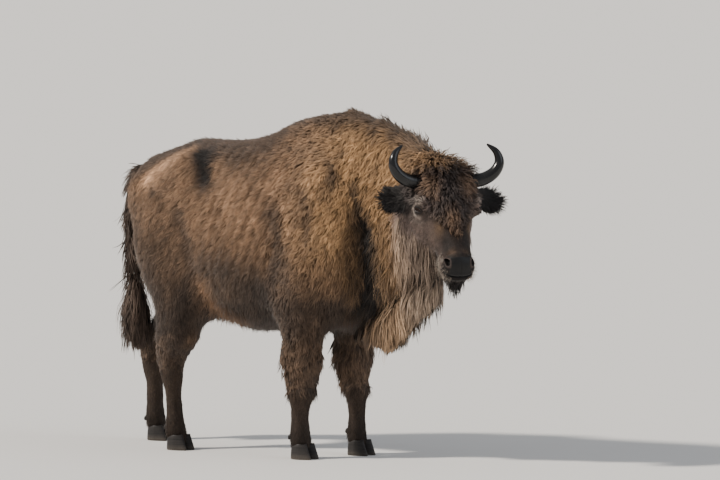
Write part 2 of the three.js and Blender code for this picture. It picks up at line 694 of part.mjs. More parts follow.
// Tail with its tuft, throat mane and beard
const tailSurface = taperedTube(TAIL_PATH, TAIL_RADII, 8, 8);
const tuftSurface = taperedTube(TUFT_PATH, TUFT_RADII, 7, 9);
trunk = trunk.subtract(grown(tailSurface));
const mane = kept(solid(maneSurface), [[THROAT_CUT.at, THROAT_NORMAL]]);
const beardRings = BEARD.map(([hx, hz, long, wide]) =>
  Array.from({ length: 8 }, (_, j) => {
    const angle = (2 * Math.PI * j) / 8;
    const along = Math.cos(angle) * long;
    return fromHead([hx + along * 0.9, -Math.sin(angle) * wide, hz + along * 0.44]);
  }),
);
const beardEnd = (row, ahead, up) => fromHead([row[0] + ahead, 0, row[1] + up]);
const beardTop = beardEnd(BEARD[0], 0, 10);
const beardSurface = loft(beardRings, beardTop, beardEnd(BEARD[BEARD.length - 1], 8, -8));
add(
  toMesh("neck", neck, COLOURS.hump),
  toMesh("trunk", trunk, COLOURS.flank),
  toMesh("tail", solid(tailSurface).subtract(grown(tuftSurface)), COLOURS.tail),
  toMesh("tail_tuft", solid(tuftSurface), COLOURS.tail),
  toMesh("throat_mane", largest(mane.subtract(grown(beardSurface))), COLOURS.mane),
  toMesh("beard", largest(solid(beardSurface).subtract(grown(headSurface))), COLOURS.head),
);

// The origin: the middle of the whole animal's box, on the floor.
const whole = new THREE.Box3().setFromObject(parts);
const centre = whole.getCenter(new THREE.Vector3());
for (const mesh of parts.children) mesh.geometry.translate(-centre.x, -centre.y, -whole.min.z);

export default parts;
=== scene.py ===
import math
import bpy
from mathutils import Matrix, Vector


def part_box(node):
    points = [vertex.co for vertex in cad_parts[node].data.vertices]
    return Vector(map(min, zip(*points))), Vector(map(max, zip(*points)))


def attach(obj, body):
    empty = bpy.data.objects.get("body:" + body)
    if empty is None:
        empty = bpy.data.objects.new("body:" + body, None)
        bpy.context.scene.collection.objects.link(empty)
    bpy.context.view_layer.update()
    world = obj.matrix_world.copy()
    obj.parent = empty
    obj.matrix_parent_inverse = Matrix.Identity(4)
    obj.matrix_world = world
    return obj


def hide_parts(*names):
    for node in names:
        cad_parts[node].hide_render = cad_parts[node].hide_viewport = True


bl_info = {
    "name": "Wisent",
    "version": (1, 0, 0),
    "blender": (4, 5, 0),
    "location": "3D Viewport > Sidebar > Wisent",
    "description": "Builds a life-size wisent with its coat, horns, eyes and hooves on a packed frame",
    "category": "Object",
}

from itertools import product

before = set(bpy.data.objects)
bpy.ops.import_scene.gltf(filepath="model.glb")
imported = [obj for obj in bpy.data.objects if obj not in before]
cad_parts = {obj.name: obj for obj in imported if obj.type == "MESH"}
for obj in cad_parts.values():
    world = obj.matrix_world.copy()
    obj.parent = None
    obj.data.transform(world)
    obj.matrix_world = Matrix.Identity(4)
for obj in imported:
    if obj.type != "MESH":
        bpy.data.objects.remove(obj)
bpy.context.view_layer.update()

import bmesh
import bpy
import numpy as np
from bpy.props import FloatProperty, FloatVectorProperty, IntProperty, PointerProperty
from mathutils import Matrix, Vector
from mathutils.bvhtree import BVHTree
from mathutils.kdtree import KDTree

SEED = 7
SIDES = {"right": -1, "left": 1}
SHIFT = np.array((0.335766, 0.001317, 0.0))  # what packing takes off the part's own x and y

# ---- The head's own frame: x down the face from the poll, y to the left, z out of the forehead. Metres. ----
POLL = np.array((1.230, -0.086, 1.372)) - SHIFT
HEAD_TURN = math.radians(-35)
HEAD_PITCH = math.radians(57)
HEAD_AXES = np.array(Matrix.Rotation(HEAD_TURN, 3, "Z") @ Matrix.Rotation(HEAD_PITCH, 3, "Y"))
EYE_AT = np.array((0.180, 0.135, -0.046))
EYE_RADIUS = 0.023
EYE_OUT = np.array((0.31, 0.82, 0.48))
EYE_TILT = math.radians(20)  # how far the inner corner drops
SLIT_HALF = 0.0215
SLIT_TOP = 0.0112
SLIT_BOTTOM = 0.0085
LID_RADIUS = 0.0264
NOSTRIL_AT = np.array((0.462, 0.057, -0.030))
NOSTRIL_OUT = np.array((0.42, 0.70, 0.57))
NOSTRIL_ALONG = np.array((0.55, -0.80, 0.0))
NOSTRIL_SIZE = (0.0215, 0.0120)
NOSTRIL_DEPTH = 0.026
MOUTH_AT = (0.532, -0.062)  # x and z of the mouth's line at the front
MOUTH_SLOPE = 0.306
MOUTH_CORNER = 0.405
HORN_PATH = [
    (0.010, 0.060, -0.050),
    (0.040, 0.092, -0.034),
    (0.047, 0.148, -0.020),
    (0.042, 0.194, -0.004),
    (0.022, 0.234, 0.018),
    (-0.014, 0.255, 0.042),
    (-0.058, 0.243, 0.060),
    (-0.098, 0.204, 0.064),
]
HORN_RADII = [0.032, 0.033, 0.032, 0.0300, 0.0270, 0.0222, 0.0155, 0.0040]
HORN_PLUG = ((0.040, 0.100, -0.030), 0.040)  # fills the head where a horn goes in
EAR_ROOT = np.array((0.086, 0.118, -0.092))
EAR_TIPS = {"right": (0.084, 0.306, -0.118), "left": (0.108, 0.306, -0.118)}
CHIN_FOLDS = (0.024, 0.031, 0.038)  # how far under the mouth's line

# ---- Feet, hollows, marks and painted shade of the body. Metres. ----
ANKLE_TOP = 0.170
ANKLE_DROP = 0.030  # how far the skin is drawn down into the hooves
WHORL = np.array((-0.706, -0.257, 1.222))  # where the hair of the hip swirls
# Hollows: how deep, how wide, and the path on the right side
HOLLOWS = [
    (0.026, 0.034, [(0.379, -0.208, 1.359), (0.466, -0.215, 1.252), (0.519, -0.222, 1.088)]),
    (
        0.042,
        0.060,
        [(0.519, -0.222, 1.088), (0.528, -0.214, 0.926), (0.505, -0.180, 0.807), (0.440, -0.151, 0.710)],
    ),
    (0.010, 0.030, [(0.216, -0.278, 1.273), (0.258, -0.301, 1.160), (0.252, -0.316, 1.045)]),
    (0.010, 0.035, [(-0.538, -0.285, 1.141), (-0.482, -0.294, 1.003), (-0.451, -0.288, 0.887)]),
    (0.010, 0.032, [(-0.450, -0.180, 1.400), (-0.432, -0.206, 1.352), (-0.427, -0.242, 1.260)]),
]
# Darker and redder places of both sides, some of them painted shade in grooves and hollows: colour, how strong, how
# wide, and the path, as x and z
MARKS_AND_PAINTED_SHADE = [
    # painted shade and dark hair in the groove before the shoulder (this row and the next)
    ("black", 0.90, 0.030, [(0.442, 1.315), (0.491, 1.202), (0.519, 1.088)]),
    ("black", 1.30, 0.066, [(0.510, 1.110), (0.534, 0.996), (0.525, 0.903), (0.510, 0.808), (0.445, 0.690)]),
    # painted shade in the hollow behind the shoulder
    ("dark", 0.80, 0.022, [(0.216, 1.273), (0.258, 1.160), (0.252, 1.045)]),
    ("dark", 0.80, 0.052, [(0.039, 1.155), (0.097, 1.015), (0.061, 0.865), (-0.066, 0.740)]),
    ("dark", 0.85, 0.014, [(0.319, 1.403), (0.362, 1.287)]),
    # painted shade in the hollow before the hip bone (this row and the next)
    ("dark", 0.97, 0.052, [(-0.465, 1.410), (-0.432, 1.350), (-0.405, 1.270)]),
    ("black", 1.15, 0.040, [(-0.460, 1.400), (-0.427, 1.350), (-0.403, 1.295)]),
    # painted shade in the fold before the thigh, down towards the stifle (this row and the next)
    ("dark", 0.70, 0.042, [(-0.538, 1.141), (-0.482, 1.003), (-0.455, 0.887), (-0.478, 0.744)]),
    ("dark", 0.85, 0.070, [(-0.478, 0.744), (-0.523, 0.625), (-0.560, 0.520)]),
    ("black", 0.85, 0.020, [(-0.700, 1.228), (-0.712, 1.216)]),
    ("dark", 0.75, 0.020, [(-0.800, 1.375), (-0.854, 1.342), (-0.862, 1.288)]),
    ("dark", 0.65, 0.085, [(-0.330, 0.900), (-0.119, 0.845), (0.040, 0.760), (0.170, 0.720)]),
    ("russet", 0.95, 0.046, [(-0.390, 0.780), (-0.345, 0.680), (-0.264, 0.618)]),
]

FLESH = ["head", "lower_jaw", "neck", "trunk", "tail", "ear_right", "ear_left"] + [
    f"{leg}_{side}_{part}"
    for leg, side, part in product(("foreleg", "hindleg"), SIDES, ("upper", "lower"))
]

# ---- Coat zones: depth below the tips, tuft length, tuft width, lift in degrees, spacing, rings ----
ZONES = {
    "rump": (0.016, 0.034, 0.0062, 20, 0.0053, 1),
    "flank": (0.016, 0.034, 0.0062, 20, 0.0053, 1),
    "hump": (0.024, 0.042, 0.0060, 30, 0.0059, 2),
    "shoulder": (0.022, 0.042, 0.0060, 24, 0.0059, 2),
    "belly": (0.022, 0.050, 0.0075, 20, 0.0085, 1),
    "neck": (0.032, 0.064, 0.0060, 22, 0.0062, 2),
    "foreleg_upper": (0.018, 0.046, 0.0066, 18, 0.0074, 3),
    "foreleg_lower": (0.004, 0.013, 0.0038, 13, 0.0044, 1),
    "hindleg_upper": (0.011, 0.028, 0.0060, 18, 0.0062, 2),
    "hindleg_lower": (0.004, 0.013, 0.0038, 13, 0.0044, 1),
    "tail": (0.014, 0.085, 0.0050, 12, 0.0082, 4),
    "forehead": (0.026, 0.050, 0.0054, 38, 0.0056, 4),
    "face": (0.005, 0.012, 0.0023, 14, 0.0027, 1),
    "cheek": (0.012, 0.026, 0.0034, 18, 0.0047, 2),
    "jaw": (0.008, 0.022, 0.0030, 20, 0.0045, 2),
    "muzzle": (0.001, 0.006, 0.0018, 18, 0.0030, 1),
    "ear": (0.004, 0.050, 0.0036, 28, 0.0047, 3),
}
ZONE_NAMES = list(ZONES)
HEAD_ZONES = ("forehead", "face", "cheek", "jaw", "muzzle", "ear")
DEPTH, LENGTH, WIDTH, LIFT, SPACING, RINGS = range(6)

# How strongly each part's facets are smoothed away, as a share of the trunk's
EVENING = {
    "trunk": 1.0,
    "neck": 0.65,
    "head": 0.10,
    "lower_jaw": 0.10,
    "ear": 0.06,
    "tail": 0.25,
    "leg": 0.16,
}

# Hanging locks: spacing, width, lift in degrees, width of a clump, how strongly it draws together, rings
LOCKS = {
    "throat_mane_locks": (0.0086, 0.0048, 10, 0.028, 0.42, 4),
    "throat_locks": (0.0082, 0.0042, 14, 0.026, 0.42, 4),
    "beard_locks": (0.0070, 0.0042, 20, 0.018, 0.40, 6),
    "tail_tuft_locks": (0.0086, 0.0048, 20, 0.026, 0.40, 4),
}
# Dense hair under them: cell of its first mesh, how far it lies inside, and smoothing steps
CORES = {"throat_mane": (0.014, 0.022, 6), "tail_tuft": (0.012, 0.022, 5)}

# ---- Bare skin, bristles and their finishes, as linear light ----
LEATHER = (0.0045, 0.0042, 0.0045)
# painted highlight: a paler rim round each nostril
NOSTRIL_RIM_HIGHLIGHT = (0.075, 0.052, 0.044)
NOSTRIL_INSIDE = (0.004, 0.003, 0.003)
WHITE_OF_EYE = (0.085, 0.050, 0.036)
PUPIL = (0.002, 0.002, 0.003)
LID_EDGE = (0.014, 0.011, 0.010)
LASH = (0.012, 0.010, 0.009)
WHISKER = (0.24, 0.20, 0.16)
DUST = (0.12, 0.10, 0.08)
LASHES = 46
WHISKERS = 620

# ---- Stage: degrees, metres, and millimetres of lens ----
CAMERA_AZIMUTH = 38
CAMERA_ELEVATION = 4
CAMERA_DISTANCE = 37.6767
CAMERA_AIM = (0.52817, 0.99061)  # to the right and up from the part's own origin
LENS = 400.4
FLOOR_HALF = 250.0
# Suns: azimuth, elevation, share of the key light, spread, tint
SUNS = {"key": (-36, 40, 1.0, 5, (1.0, 0.92, 0.82)), "side": (100, 30, 0.14, 40, (0.9, 0.95, 1.0))}

made = {}  # what the skin's operator leaves for the coat's


# ---- Numbers ----
def smoothstep(x, low, high):
    t = np.clip((x - low) / (high - low), 0, 1)
    return t * t * (3 - 2 * t)


def bell(x, middle, spread):
    return np.exp(-(((x - middle) / spread) ** 2))


def mix(a, b, share):
    return a + (b - a) * share


def unit(vectors):
    return vectors / np.maximum(np.linalg.norm(vectors, axis=-1, keepdims=True), 1e-12)


def dot(a, b):
    return np.einsum("ij,ij->i", a, np.broadcast_to(b, a.shape))


def rows(*columns):
    """Vectors from their coordinates, each a number or an array."""
    return np.stack(np.broadcast_arrays(*columns), 1).astype(float)


def added(shares):
    """The sum of shares, each times its own gain."""
    return sum(gain * share for gain, share in shares)


def to_head(points):
    return (points - POLL) @ HEAD_AXES


def from_head(points):
    return np.asarray(points) @ HEAD_AXES.T + POLL


def cell_key(cell):
    """One whole number for each cell of a grid in space."""
    return (cell[:, 0] * 73856093) ^ (cell[:, 1] * 19349663) ^ (cell[:, 2] * 83492791)


def noise(points, size, seed):
    """Smooth noise from -1 to 1, with lumps of about the given size."""
    q = points / size
    cell = np.floor(q).astype(np.int64)
    part = q - cell
    part = part * part * (3 - 2 * part)
    total = np.zeros(len(points))
    for corner in product((0, 1), repeat=3):
        h = cell_key(cell + corner) ^ (seed * 26544357)
        h = ((h ^ (h >> 13)) * 1274126177) & 0x7FFFFFFF
        h = ((h ^ (h >> 15)) * 22695477) & 0x7FFFFFFF
        weight = np.prod(np.where(corner, part, 1 - part), axis=1)
        total += weight * (h / 0x3FFFFFFF - 1)
    return total


def catmull_rom(points, count):
    """Evenly spaced points on a smooth curve through the given ones."""
    p = np.asarray(points, float)
    p = np.vstack([2 * p[0] - p[1], p, 2 * p[-1] - p[-2]])
    fine = []
    for i in range(1, len(p) - 2):
        t = np.linspace(0, 1, 24, endpoint=False)[:, None]
        a, b, c, d = p[i - 1 : i + 3]
        fine.append(
            0.5 * (2 * b + (c - a) * t + (2 * a - 5 * b + 4 * c - d) * t**2 + (3 * b - a - 3 * c + d) * t**3)
        )
    fine = np.vstack(fine + [p[-2:-1]])
    run = np.concatenate([[0], np.cumsum(np.linalg.norm(np.diff(fine[:, :3], axis=0), axis=1))])
    at = np.linspace(0, run[-1], count)
    return np.stack([np.interp(at, run, fine[:, k]) for k in range(p.shape[1])], axis=1)


def right_side(points):
    """The points, with those of the left side mirrored to the right."""
    return np.stack([points[:, 0], -np.abs(points[:, 1]), points[:, 2]], 1)


def path_distance(points, path):
    """Distance from each point to a smooth path."""
    line = catmull_rom(path, 40)
    return np.min(np.linalg.norm(points[:, None, :] - line[None], axis=2), axis=1)


# ---- Meshes ----
def mesh_from_arrays(name, points, triangles):
    mesh = bpy.data.meshes.new(name)
    mesh.vertices.add(len(points))
    mesh.vertices.foreach_set("co", np.ascontiguousarray(points, np.float32).ravel())
    mesh.loops.add(triangles.size)
    mesh.loops.foreach_set("vertex_index", np.ascontiguousarray(triangles, np.int32).ravel())
    mesh.polygons.add(len(triangles))
    mesh.polygons.foreach_set("loop_start", np.arange(0, triangles.size, 3, dtype=np.int32))
    mesh.update(calc_edges=True)
    mesh.shade_smooth()
    return mesh


def colour_attribute(mesh, name, colours):
    rgba = np.ones((len(colours), 4), np.float32)
    rgba[:, :3] = np.clip(colours, 0, 1)
    mesh.color_attributes.new(name, "FLOAT_COLOR", "POINT").data.foreach_set("color", rgba.ravel())


def point_attribute(mesh, name, values):
    """Numbers or vectors on a mesh's points."""
    values = np.ascontiguousarray(values, np.float32)
    kind, field = ("FLOAT", "value") if values.ndim == 1 else ("FLOAT_VECTOR", "vector")
    mesh.attributes.new(name, kind, "POINT").data.foreach_set(field, values.ravel())


def uv_map(mesh, name, per_point):
    corners = np.empty(len(mesh.loops), np.int32)
    mesh.loops.foreach_get("vertex_index", corners)
    layer = mesh.uv_layers.new(name=name)
    layer.uv.foreach_set("vector", np.ascontiguousarray(per_point[corners], np.float32).ravel())


def add_piece(name, mesh, material, slot, replaces=()):
    """Links a finished mesh, hangs it on the root, gives it its finish and hides the CAD solids it replaces; the
    slot is not used.
    """
    piece = bpy.data.objects.new(name, mesh)
    bpy.context.scene.collection.objects.link(piece)
    mesh.materials.clear()
    mesh.materials.append(material)
    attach(piece, "root")
    if replaces:
        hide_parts(*replaces)
    return piece


def joined_copy(names):
    """One bmesh of the named CAD solids, their doubles merged."""
    bm = bmesh.new()
    for name in names:
        bm.from_mesh(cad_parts[name].data)
    bmesh.ops.remove_doubles(bm, verts=bm.verts, dist=1e-6)
    return bm


def remeshed(names, voxel, plugs=()):
    """One closed even mesh round the named CAD solids and some balls, in a bmesh."""
    bm = joined_copy(names)
    for centre, radius in plugs:
        bmesh.ops.create_icosphere(bm, subdivisions=3, radius=radius, matrix=Matrix.Translation(centre))
    mesh = bpy.data.meshes.new("rough")
    bm.to_mesh(mesh)
    bm.free()
    rough = bpy.data.objects.new("rough", mesh)
    bpy.context.scene.collection.objects.link(rough)
    remesh = rough.modifiers.new("remesh", "REMESH")
    remesh.mode = "VOXEL"
    remesh.voxel_size = voxel
    depsgraph = bpy.context.evaluated_depsgraph_get()
    even = bpy.data.meshes.new_from_object(rough.evaluated_get(depsgraph))
    bm = bmesh.new()
    bm.from_mesh(even)
    bpy.data.objects.remove(rough)
    bpy.data.meshes.remove(mesh)
    bpy.data.meshes.remove(even)
    return bm


def bm_points(bm):
    return np.array([v.co[:] for v in bm.verts])


def bm_edges(bm):
    return np.array([(e.verts[0].index, e.verts[1].index) for e in bm.edges])


def set_bm_points(bm, points):
    for vertex, point in zip(bm.verts, points):
        vertex.co = point


def refine(bm, picks):
    """Splits in four the faces whose centres the test picks, and leaves only triangles and quads."""
    centres = np.array([f.calc_center_median()[:] for f in bm.faces])
    chosen = picks(centres)
    edges = {e for face, keep in zip(bm.faces, chosen) if keep for e in face.edges}
    bmesh.ops.subdivide_edges(bm, edges=list(edges), cuts=1, use_grid_fill=True)
    bmesh.ops.triangulate(bm, faces=[f for f in bm.faces if len(f.verts) > 4])
    bm.verts.index_update()


class Spread:
    """Averages values over the neighbours on a mesh."""

    def __init__(self, edges, count):
        self.a = np.concatenate([edges[:, 0], edges[:, 1]])
        self.b = np.concatenate([edges[:, 1], edges[:, 0]])
        self.count = count
        self.links = np.maximum(np.bincount(self.a, minlength=count), 1)

    def mean(self, values):
        if values.ndim == 1:
            return np.bincount(self.a, values[self.b], self.count) / self.links
        return np.stack([self.mean(values[:, k]) for k in range(values.shape[1])], axis=1)

    def smooth(self, values, steps, share=0.6):
        share = np.asarray(share)
        if values.ndim == 2 and share.ndim == 1:
            share = share[:, None]
        for _ in range(steps):
            values = values + (self.mean(values) - values) * share
        return values


def bm_arrays(bm):
    """Points, triangles and neighbours of a bmesh, which is then let go."""
    bmesh.ops.triangulate(bm, faces=bm.faces)
    bm.verts.index_update()
    points = bm_points(bm)
    triangles = np.array([[v.index for v in f.verts] for f in bm.faces])
    spread = Spread(bm_edges(bm), len(points))
    bm.free()
    return points, triangles, spread


def ball_places(count, sides):
    """Angles from the pole, and rings of places on a ball of radius 1, without its poles."""
    polar = np.linspace(0, math.pi, count + 1)[1:-1]
    turn = np.linspace(0, 2 * math.pi, sides, endpoint=False)
    parts = (np.sin(polar), np.cos(turn)), (np.sin(polar), np.sin(turn)), (np.cos(polar), np.ones(sides))
    return polar, np.stack([np.outer(a, b) for a, b in parts], 2)


def ball_faces(count, sides):
    """Triangles of a pole, the rings of ball_places, and the other pole."""
    at = lambda i, j: 1 + i * sides + j % sides
    faces = [(0, at(0, j), at(0, j + 1)) for j in range(sides)]
    for i, j in product(range(count - 2), range(sides)):
        faces += [(at(i, j), at(i + 1, j), at(i + 1, j + 1)), (at(i, j), at(i + 1, j + 1), at(i, j + 1))]
    faces += [(at(count - 1, 0), at(count - 2, j + 1), at(count - 2, j)) for j in range(sides)]
    return np.array(faces)


def facing_out(points, faces, probe, centre):
    """The triangles, all turned over if the probed one looks towards the centre."""
    a, b, c = points[faces[probe]]
    return faces[:, ::-1] if np.cross(b - a, c - a) @ (a - centre) < 0 else faces


def triangle_normals(points, triangles):
    a, b, c = (points[triangles[:, k]] for k in range(3))
    return np.cross(b - a, c - a)


def vertex_normals(points, triangles):
    face = triangle_normals(points, triangles)
    normal = np.zeros_like(points)
    for k, m in product(range(3), range(3)):
        normal[:, m] += np.bincount(triangles[:, k], face[:, m], len(points))
    return unit(normal)


def owner_finder(names):
    """A test that says which named CAD solid lies nearest to each point."""
    points, faces, owners = [], [], []
    for index, name in enumerate(names):
        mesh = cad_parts[name].data
        base = len(points)
        points += [v.co[:] for v in mesh.vertices]
        faces += [[base + i for i in p.vertices] for p in mesh.polygons]
        owners += [index] * len(mesh.polygons)
    tree = BVHTree.FromPolygons(points, faces)
    return lambda at: np.array([owners[tree.find_nearest(p)[2]] for p in at])


# ---- The skin ----
def eye_axes(side):
    """Out of the eye, towards its inner corner, and up, in the head's frame."""
    mirror = np.array((1, side, 1))
    out = unit(EYE_OUT) * mirror
    sky = np.array((0, 0, 1)) @ HEAD_AXES
    inward = unit(np.cross(sky, out)) * -side
    up = np.cross(out, inward)
    up = up * np.sign(up @ sky)
    ahead = inward * math.cos(EYE_TILT) - up * math.sin(EYE_TILT)
    return out, ahead, up * math.cos(EYE_TILT) + inward * math.sin(EYE_TILT)


def eye_position(h, side):
    """Places of head points round an eye: along the slit, up, out, and the distance from its axis."""
    out, ahead, up = eye_axes(side)
    d = h - EYE_AT * (1, side, 1)
    along, high = d @ ahead, d @ up
    return along, high, d @ out, np.hypot(along, high)


def lid_lines(share):
    """Heights of the upper and the lower lid's edge, at shares of the slit's half length."""
    return SLIT_TOP * (1 - np.abs(share) ** 2.2), -SLIT_BOTTOM * (1 - np.abs(share) ** 1.8)


def slit_margin(along, high):
    """How far inside the opening between the lids a place lies, in metres."""
    top, bottom = lid_lines(along / SLIT_HALF)
    return np.minimum(top - high, high - bottom)


def eye_distance(h, behind):
    """Distance of head points from the nearer eye's axis, large for places further back than behind."""
    far = 9
    places = [eye_position(h, side) for side in SIDES.values()]
    return np.min([away + far * (out < behind) for _, _, out, away in places], 0)


def shape_eye(h, side):
    """Raises the lids over the eyeball, opens the slit, and folds the skin round it."""
    along, high, out, away = eye_position(h, side)
    near = (away < 0.07) & (out > -0.03)
    edge = 0.019
    sphere = np.sqrt(np.maximum(LID_RADIUS**2 - np.minimum(away, edge) ** 2, 0))
    slope = edge / math.sqrt(LID_RADIUS**2 - edge**2)
    beyond = np.maximum(away - edge, 0)
    dome = sphere - slope * beyond + 13 * beyond**2
    level = mix(dome, out, smoothstep(away, 0.026, 0.052))
    margin = slit_margin(along, high)
    top, bottom = lid_lines(np.minimum(np.abs(along / SLIT_HALF), 1.2))
    fold_end = 1 - smoothstep(np.abs(along), 0.016, 0.028)
    level += added(
        (
            (-0.0016, bell(high - top, 0.0075, 0.0016) * (1 - smoothstep(np.abs(along), 0.018, 0.030))),
            (-0.0011, bell(high - bottom, -0.0075, 0.0014) * fold_end),
            (-0.0011, bell(high - bottom, -0.0135, 0.0014) * fold_end),
            (0.0065, bell(high, 0.034, 0.013) * bell(along, 0.0, 0.034)),  # brow
            (-0.0040, bell(high, -0.034, 0.012) * bell(along, 0.004, 0.030)),  # hollow under the lid
            (0.0015, bell(margin, -0.0022, 0.0016)),  # rim of the lids
        )
    )
    ball = np.sqrt(np.maximum(EYE_RADIUS**2 - away**2, 0)) - 0.0045
    level = mix(level, ball, smoothstep(margin, -0.0003, 0.0014))
    h[near] += ((level - out)[near])[:, None] * eye_axes(side)[0]


def nostril_position(h, side):
    """Places of head points round a nostril, as shares of its size, and how far out they lie."""
    out = unit(NOSTRIL_OUT) * (1, side, 1)
    along = NOSTRIL_ALONG * (1, side, 1)
    along = unit(along - (along @ out) * out)
    across = np.cross(out, along)
    across *= np.sign(across[2])
    d = h - NOSTRIL_AT * (1, side, 1)
    u, w = d @ along, d @ across
    w = w + 9 * (u + 0.004) ** 2 - 0.001
    taper = 1 + 0.45 * np.clip(-u / NOSTRIL_SIZE[0], -0.4, 1)
    return np.hypot(u / NOSTRIL_SIZE[0], w * taper / NOSTRIL_SIZE[1]), d @ out, out


def mouth_distance(h):
    """Height of head points over the line of the mouth, and the share of the line that is there."""
    x, z = h[:, 0], h[:, 2]
    line = MOUTH_AT[1] + MOUTH_SLOPE * (x - MOUTH_AT[0])
    there = smoothstep(x, MOUTH_CORNER - 0.004, MOUTH_CORNER + 0.02)
    return (z - line) * math.cos(math.atan(MOUTH_SLOPE)), there


def pad_share(h):
    """Where the bare nose pad lies, from 0 to 1."""
    x, y = h[:, 0], np.abs(h[:, 1])
    over = mouth_distance(h)[0]
    edge = 0.452 + 0.8 * np.maximum(y - 0.046, 0) - 0.010 * bell(y, 0.055, 0.014)
    beside = 1 - smoothstep(y, 0.046, 0.055) * smoothstep(over, 0.006, 0.013)
    return smoothstep(x - edge, 0.0, 0.006) * smoothstep(over, -0.001, 0.003) * beside


def shape_muzzle(h, n):
    """Nostrils, nose pad, lips, chin and the creases round them."""
    x, y = h[:, 0], h[:, 1]
    ay = np.abs(y)
    over, there = mouth_distance(h)
    pad = pad_share(h)
    chin = there * smoothstep(x, 0.44, 0.48)
    lift = added(
        (
            (0.0016, pad),
            (-0.0026, bell(y, 0, 0.0026) * pad * smoothstep(x, 0.470, 0.500)),  # the pad's groove
            (-0.0085, bell(over, 0, 0.0038) * there),  # line of the mouth
            (0.0042, bell(over, 0.013, 0.0095) * there),  # upper lip
            (0.0050, bell(over, -0.013, 0.0100) * there * smoothstep(x, 0.42, 0.47)),  # lower lip
            *((-0.0012, bell(over, -fold, 0.0018) * chin) for fold in CHIN_FOLDS),
            (-0.0045, bell(x, MOUTH_CORNER, 0.009) * bell(over, 0, 0.010)),
            (-0.0035, bell(x, 0.437, 0.011) * smoothstep(ay, 0.030, 0.048) * smoothstep(over, 0.01, 0.03)),
            (0.0060, bell(x, 0.478, 0.028) * bell(ay, 0.060, 0.018) * smoothstep(over, 0.005, 0.02)),
        )
    )
    h = h + n * lift[:, None]
    for side in SIDES.values():
        r, out, axis = nostril_position(h, side)
        near = (np.abs(out) < 0.045) & (r < 3)
        sink = NOSTRIL_DEPTH * np.clip(1 - r**2, 0, 1) ** 0.55 - 0.0040 * bell(r, 1.22, 0.24)
        h[near] -= (sink[near])[:, None] * axis
    return h


def shape_head(h, n):
    """The bones and folds of the head."""
    x, y, z = h.T
    lift = added(
        (
            # the bridge of the nose
            (0.006, bell(x, 0.300, 0.060) * bell(np.abs(y), 0.030, 0.030) * smoothstep(z, -0.03, 0.0)),
            (-0.006, bell(x, 0.285, 0.050) * bell(z, -0.075, 0.030)),  # hollow beside it
            (0.006, bell(x, 0.250, 0.060) * bell(z, -0.125, 0.022)),  # cheek bone
            (-0.006, bell(x, 0.360, 0.050) * bell(z, -0.120, 0.030)),  # hollow before the cheek
        )
    )
    h = shape_muzzle(h + n * lift[:, None], n)
    for side in SIDES.values():
        shape_eye(h, side)
    return h


def shape_body(points, n):
    """The groove before the shoulder, the ribs, and slack in the hide."""
    x, z = points[:, 0], points[:, 2]
    beside = smoothstep(np.abs(n[:, 1]), 0.2, 0.5)
    lift = np.zeros(len(points))
    for depth, width, path in HOLLOWS:
        reach = path_distance(right_side(points), path)
        lift -= depth * bell(reach, 0, width) * beside
    rib_zone = smoothstep(x, -0.42, -0.30) * (1 - smoothstep(x, 0.10, 0.25))
    rib_zone *= smoothstep(z, 0.80, 0.95) * (1 - smoothstep(z, 1.38, 1.50))
    rib_zone *= smoothstep(np.abs(n[:, 1]), 0.4, 0.7)
    phase = (x - 0.32 * (z - 1.1)) / 0.062
    lift += 0.0035 * np.cos(2 * math.pi * phase) * rib_zone
    lift += 0.0040 * noise(points, 0.16, 3) + 0.0022 * noise(points, 0.075, 4)
    return points + n * lift[:, None]


def zone_index(name):
    return ZONE_NAMES.index(name)


def in_zones(zone, *names):
    return np.isin(zone, [zone_index(name) for name in names])


def zones_of(points, n, h, owners):
    """The coat zone of each point of the skin. Later rows go over earlier ones."""
    x, z = points[:, 0], points[:, 2]
    hx, hy, hz = h.T
    names = np.array(FLESH)[owners]
    front = x > 0.02
    high = z > 1.18 - 0.2 * (x - 0.02)
    head = (names == "head") | (names == "lower_jaw")
    bonnet = (hz > -0.050 - 0.25 * np.maximum(0.12 - hx, 0)) & (hx < 0.335 - 1.2 * np.abs(hy))
    snout = hx > 0.435 - 0.35 * np.clip(-(hz + 0.05), 0, 0.1)
    legs = {
        f"{leg}_{part}": np.char.startswith(names, leg) & np.char.endswith(names, part)
        for leg, part in product(("foreleg", "hindleg"), ("upper", "lower"))
    }
    places = {
        "rump": x < -0.47,
        "hump": front & high,
        "shoulder": front & ~high,
        "belly": (n[:, 2] < -0.55) & (z < 0.85),
        "neck": ((x > 0.44) & (names == "trunk")) | (names == "neck"),
        **legs,
        "tail": names == "tail",
        "cheek": head,
        "face": head & (hx > 0.20) & (hz > -0.13),
        "jaw": (names == "lower_jaw") & (hx > 0.33),
        "forehead": head & bonnet,
        "muzzle": head & snout & (mouth_distance(h)[0] > -0.030),
        "ear": np.char.startswith(names, "ear"),
    }
    zone = np.full(len(points), zone_index("flank"))
    for name, place in places.items():
        zone[place] = zone_index(name)
    return zone


def crest_share(x, n, h):
    """How far a place is on the crest between the hump and the horns."""
    return smoothstep(x, 0.60, 0.78) * smoothstep(n[:, 2], 0.35, 0.75) * (1 - smoothstep(h[:, 0], 0.0, 0.07))


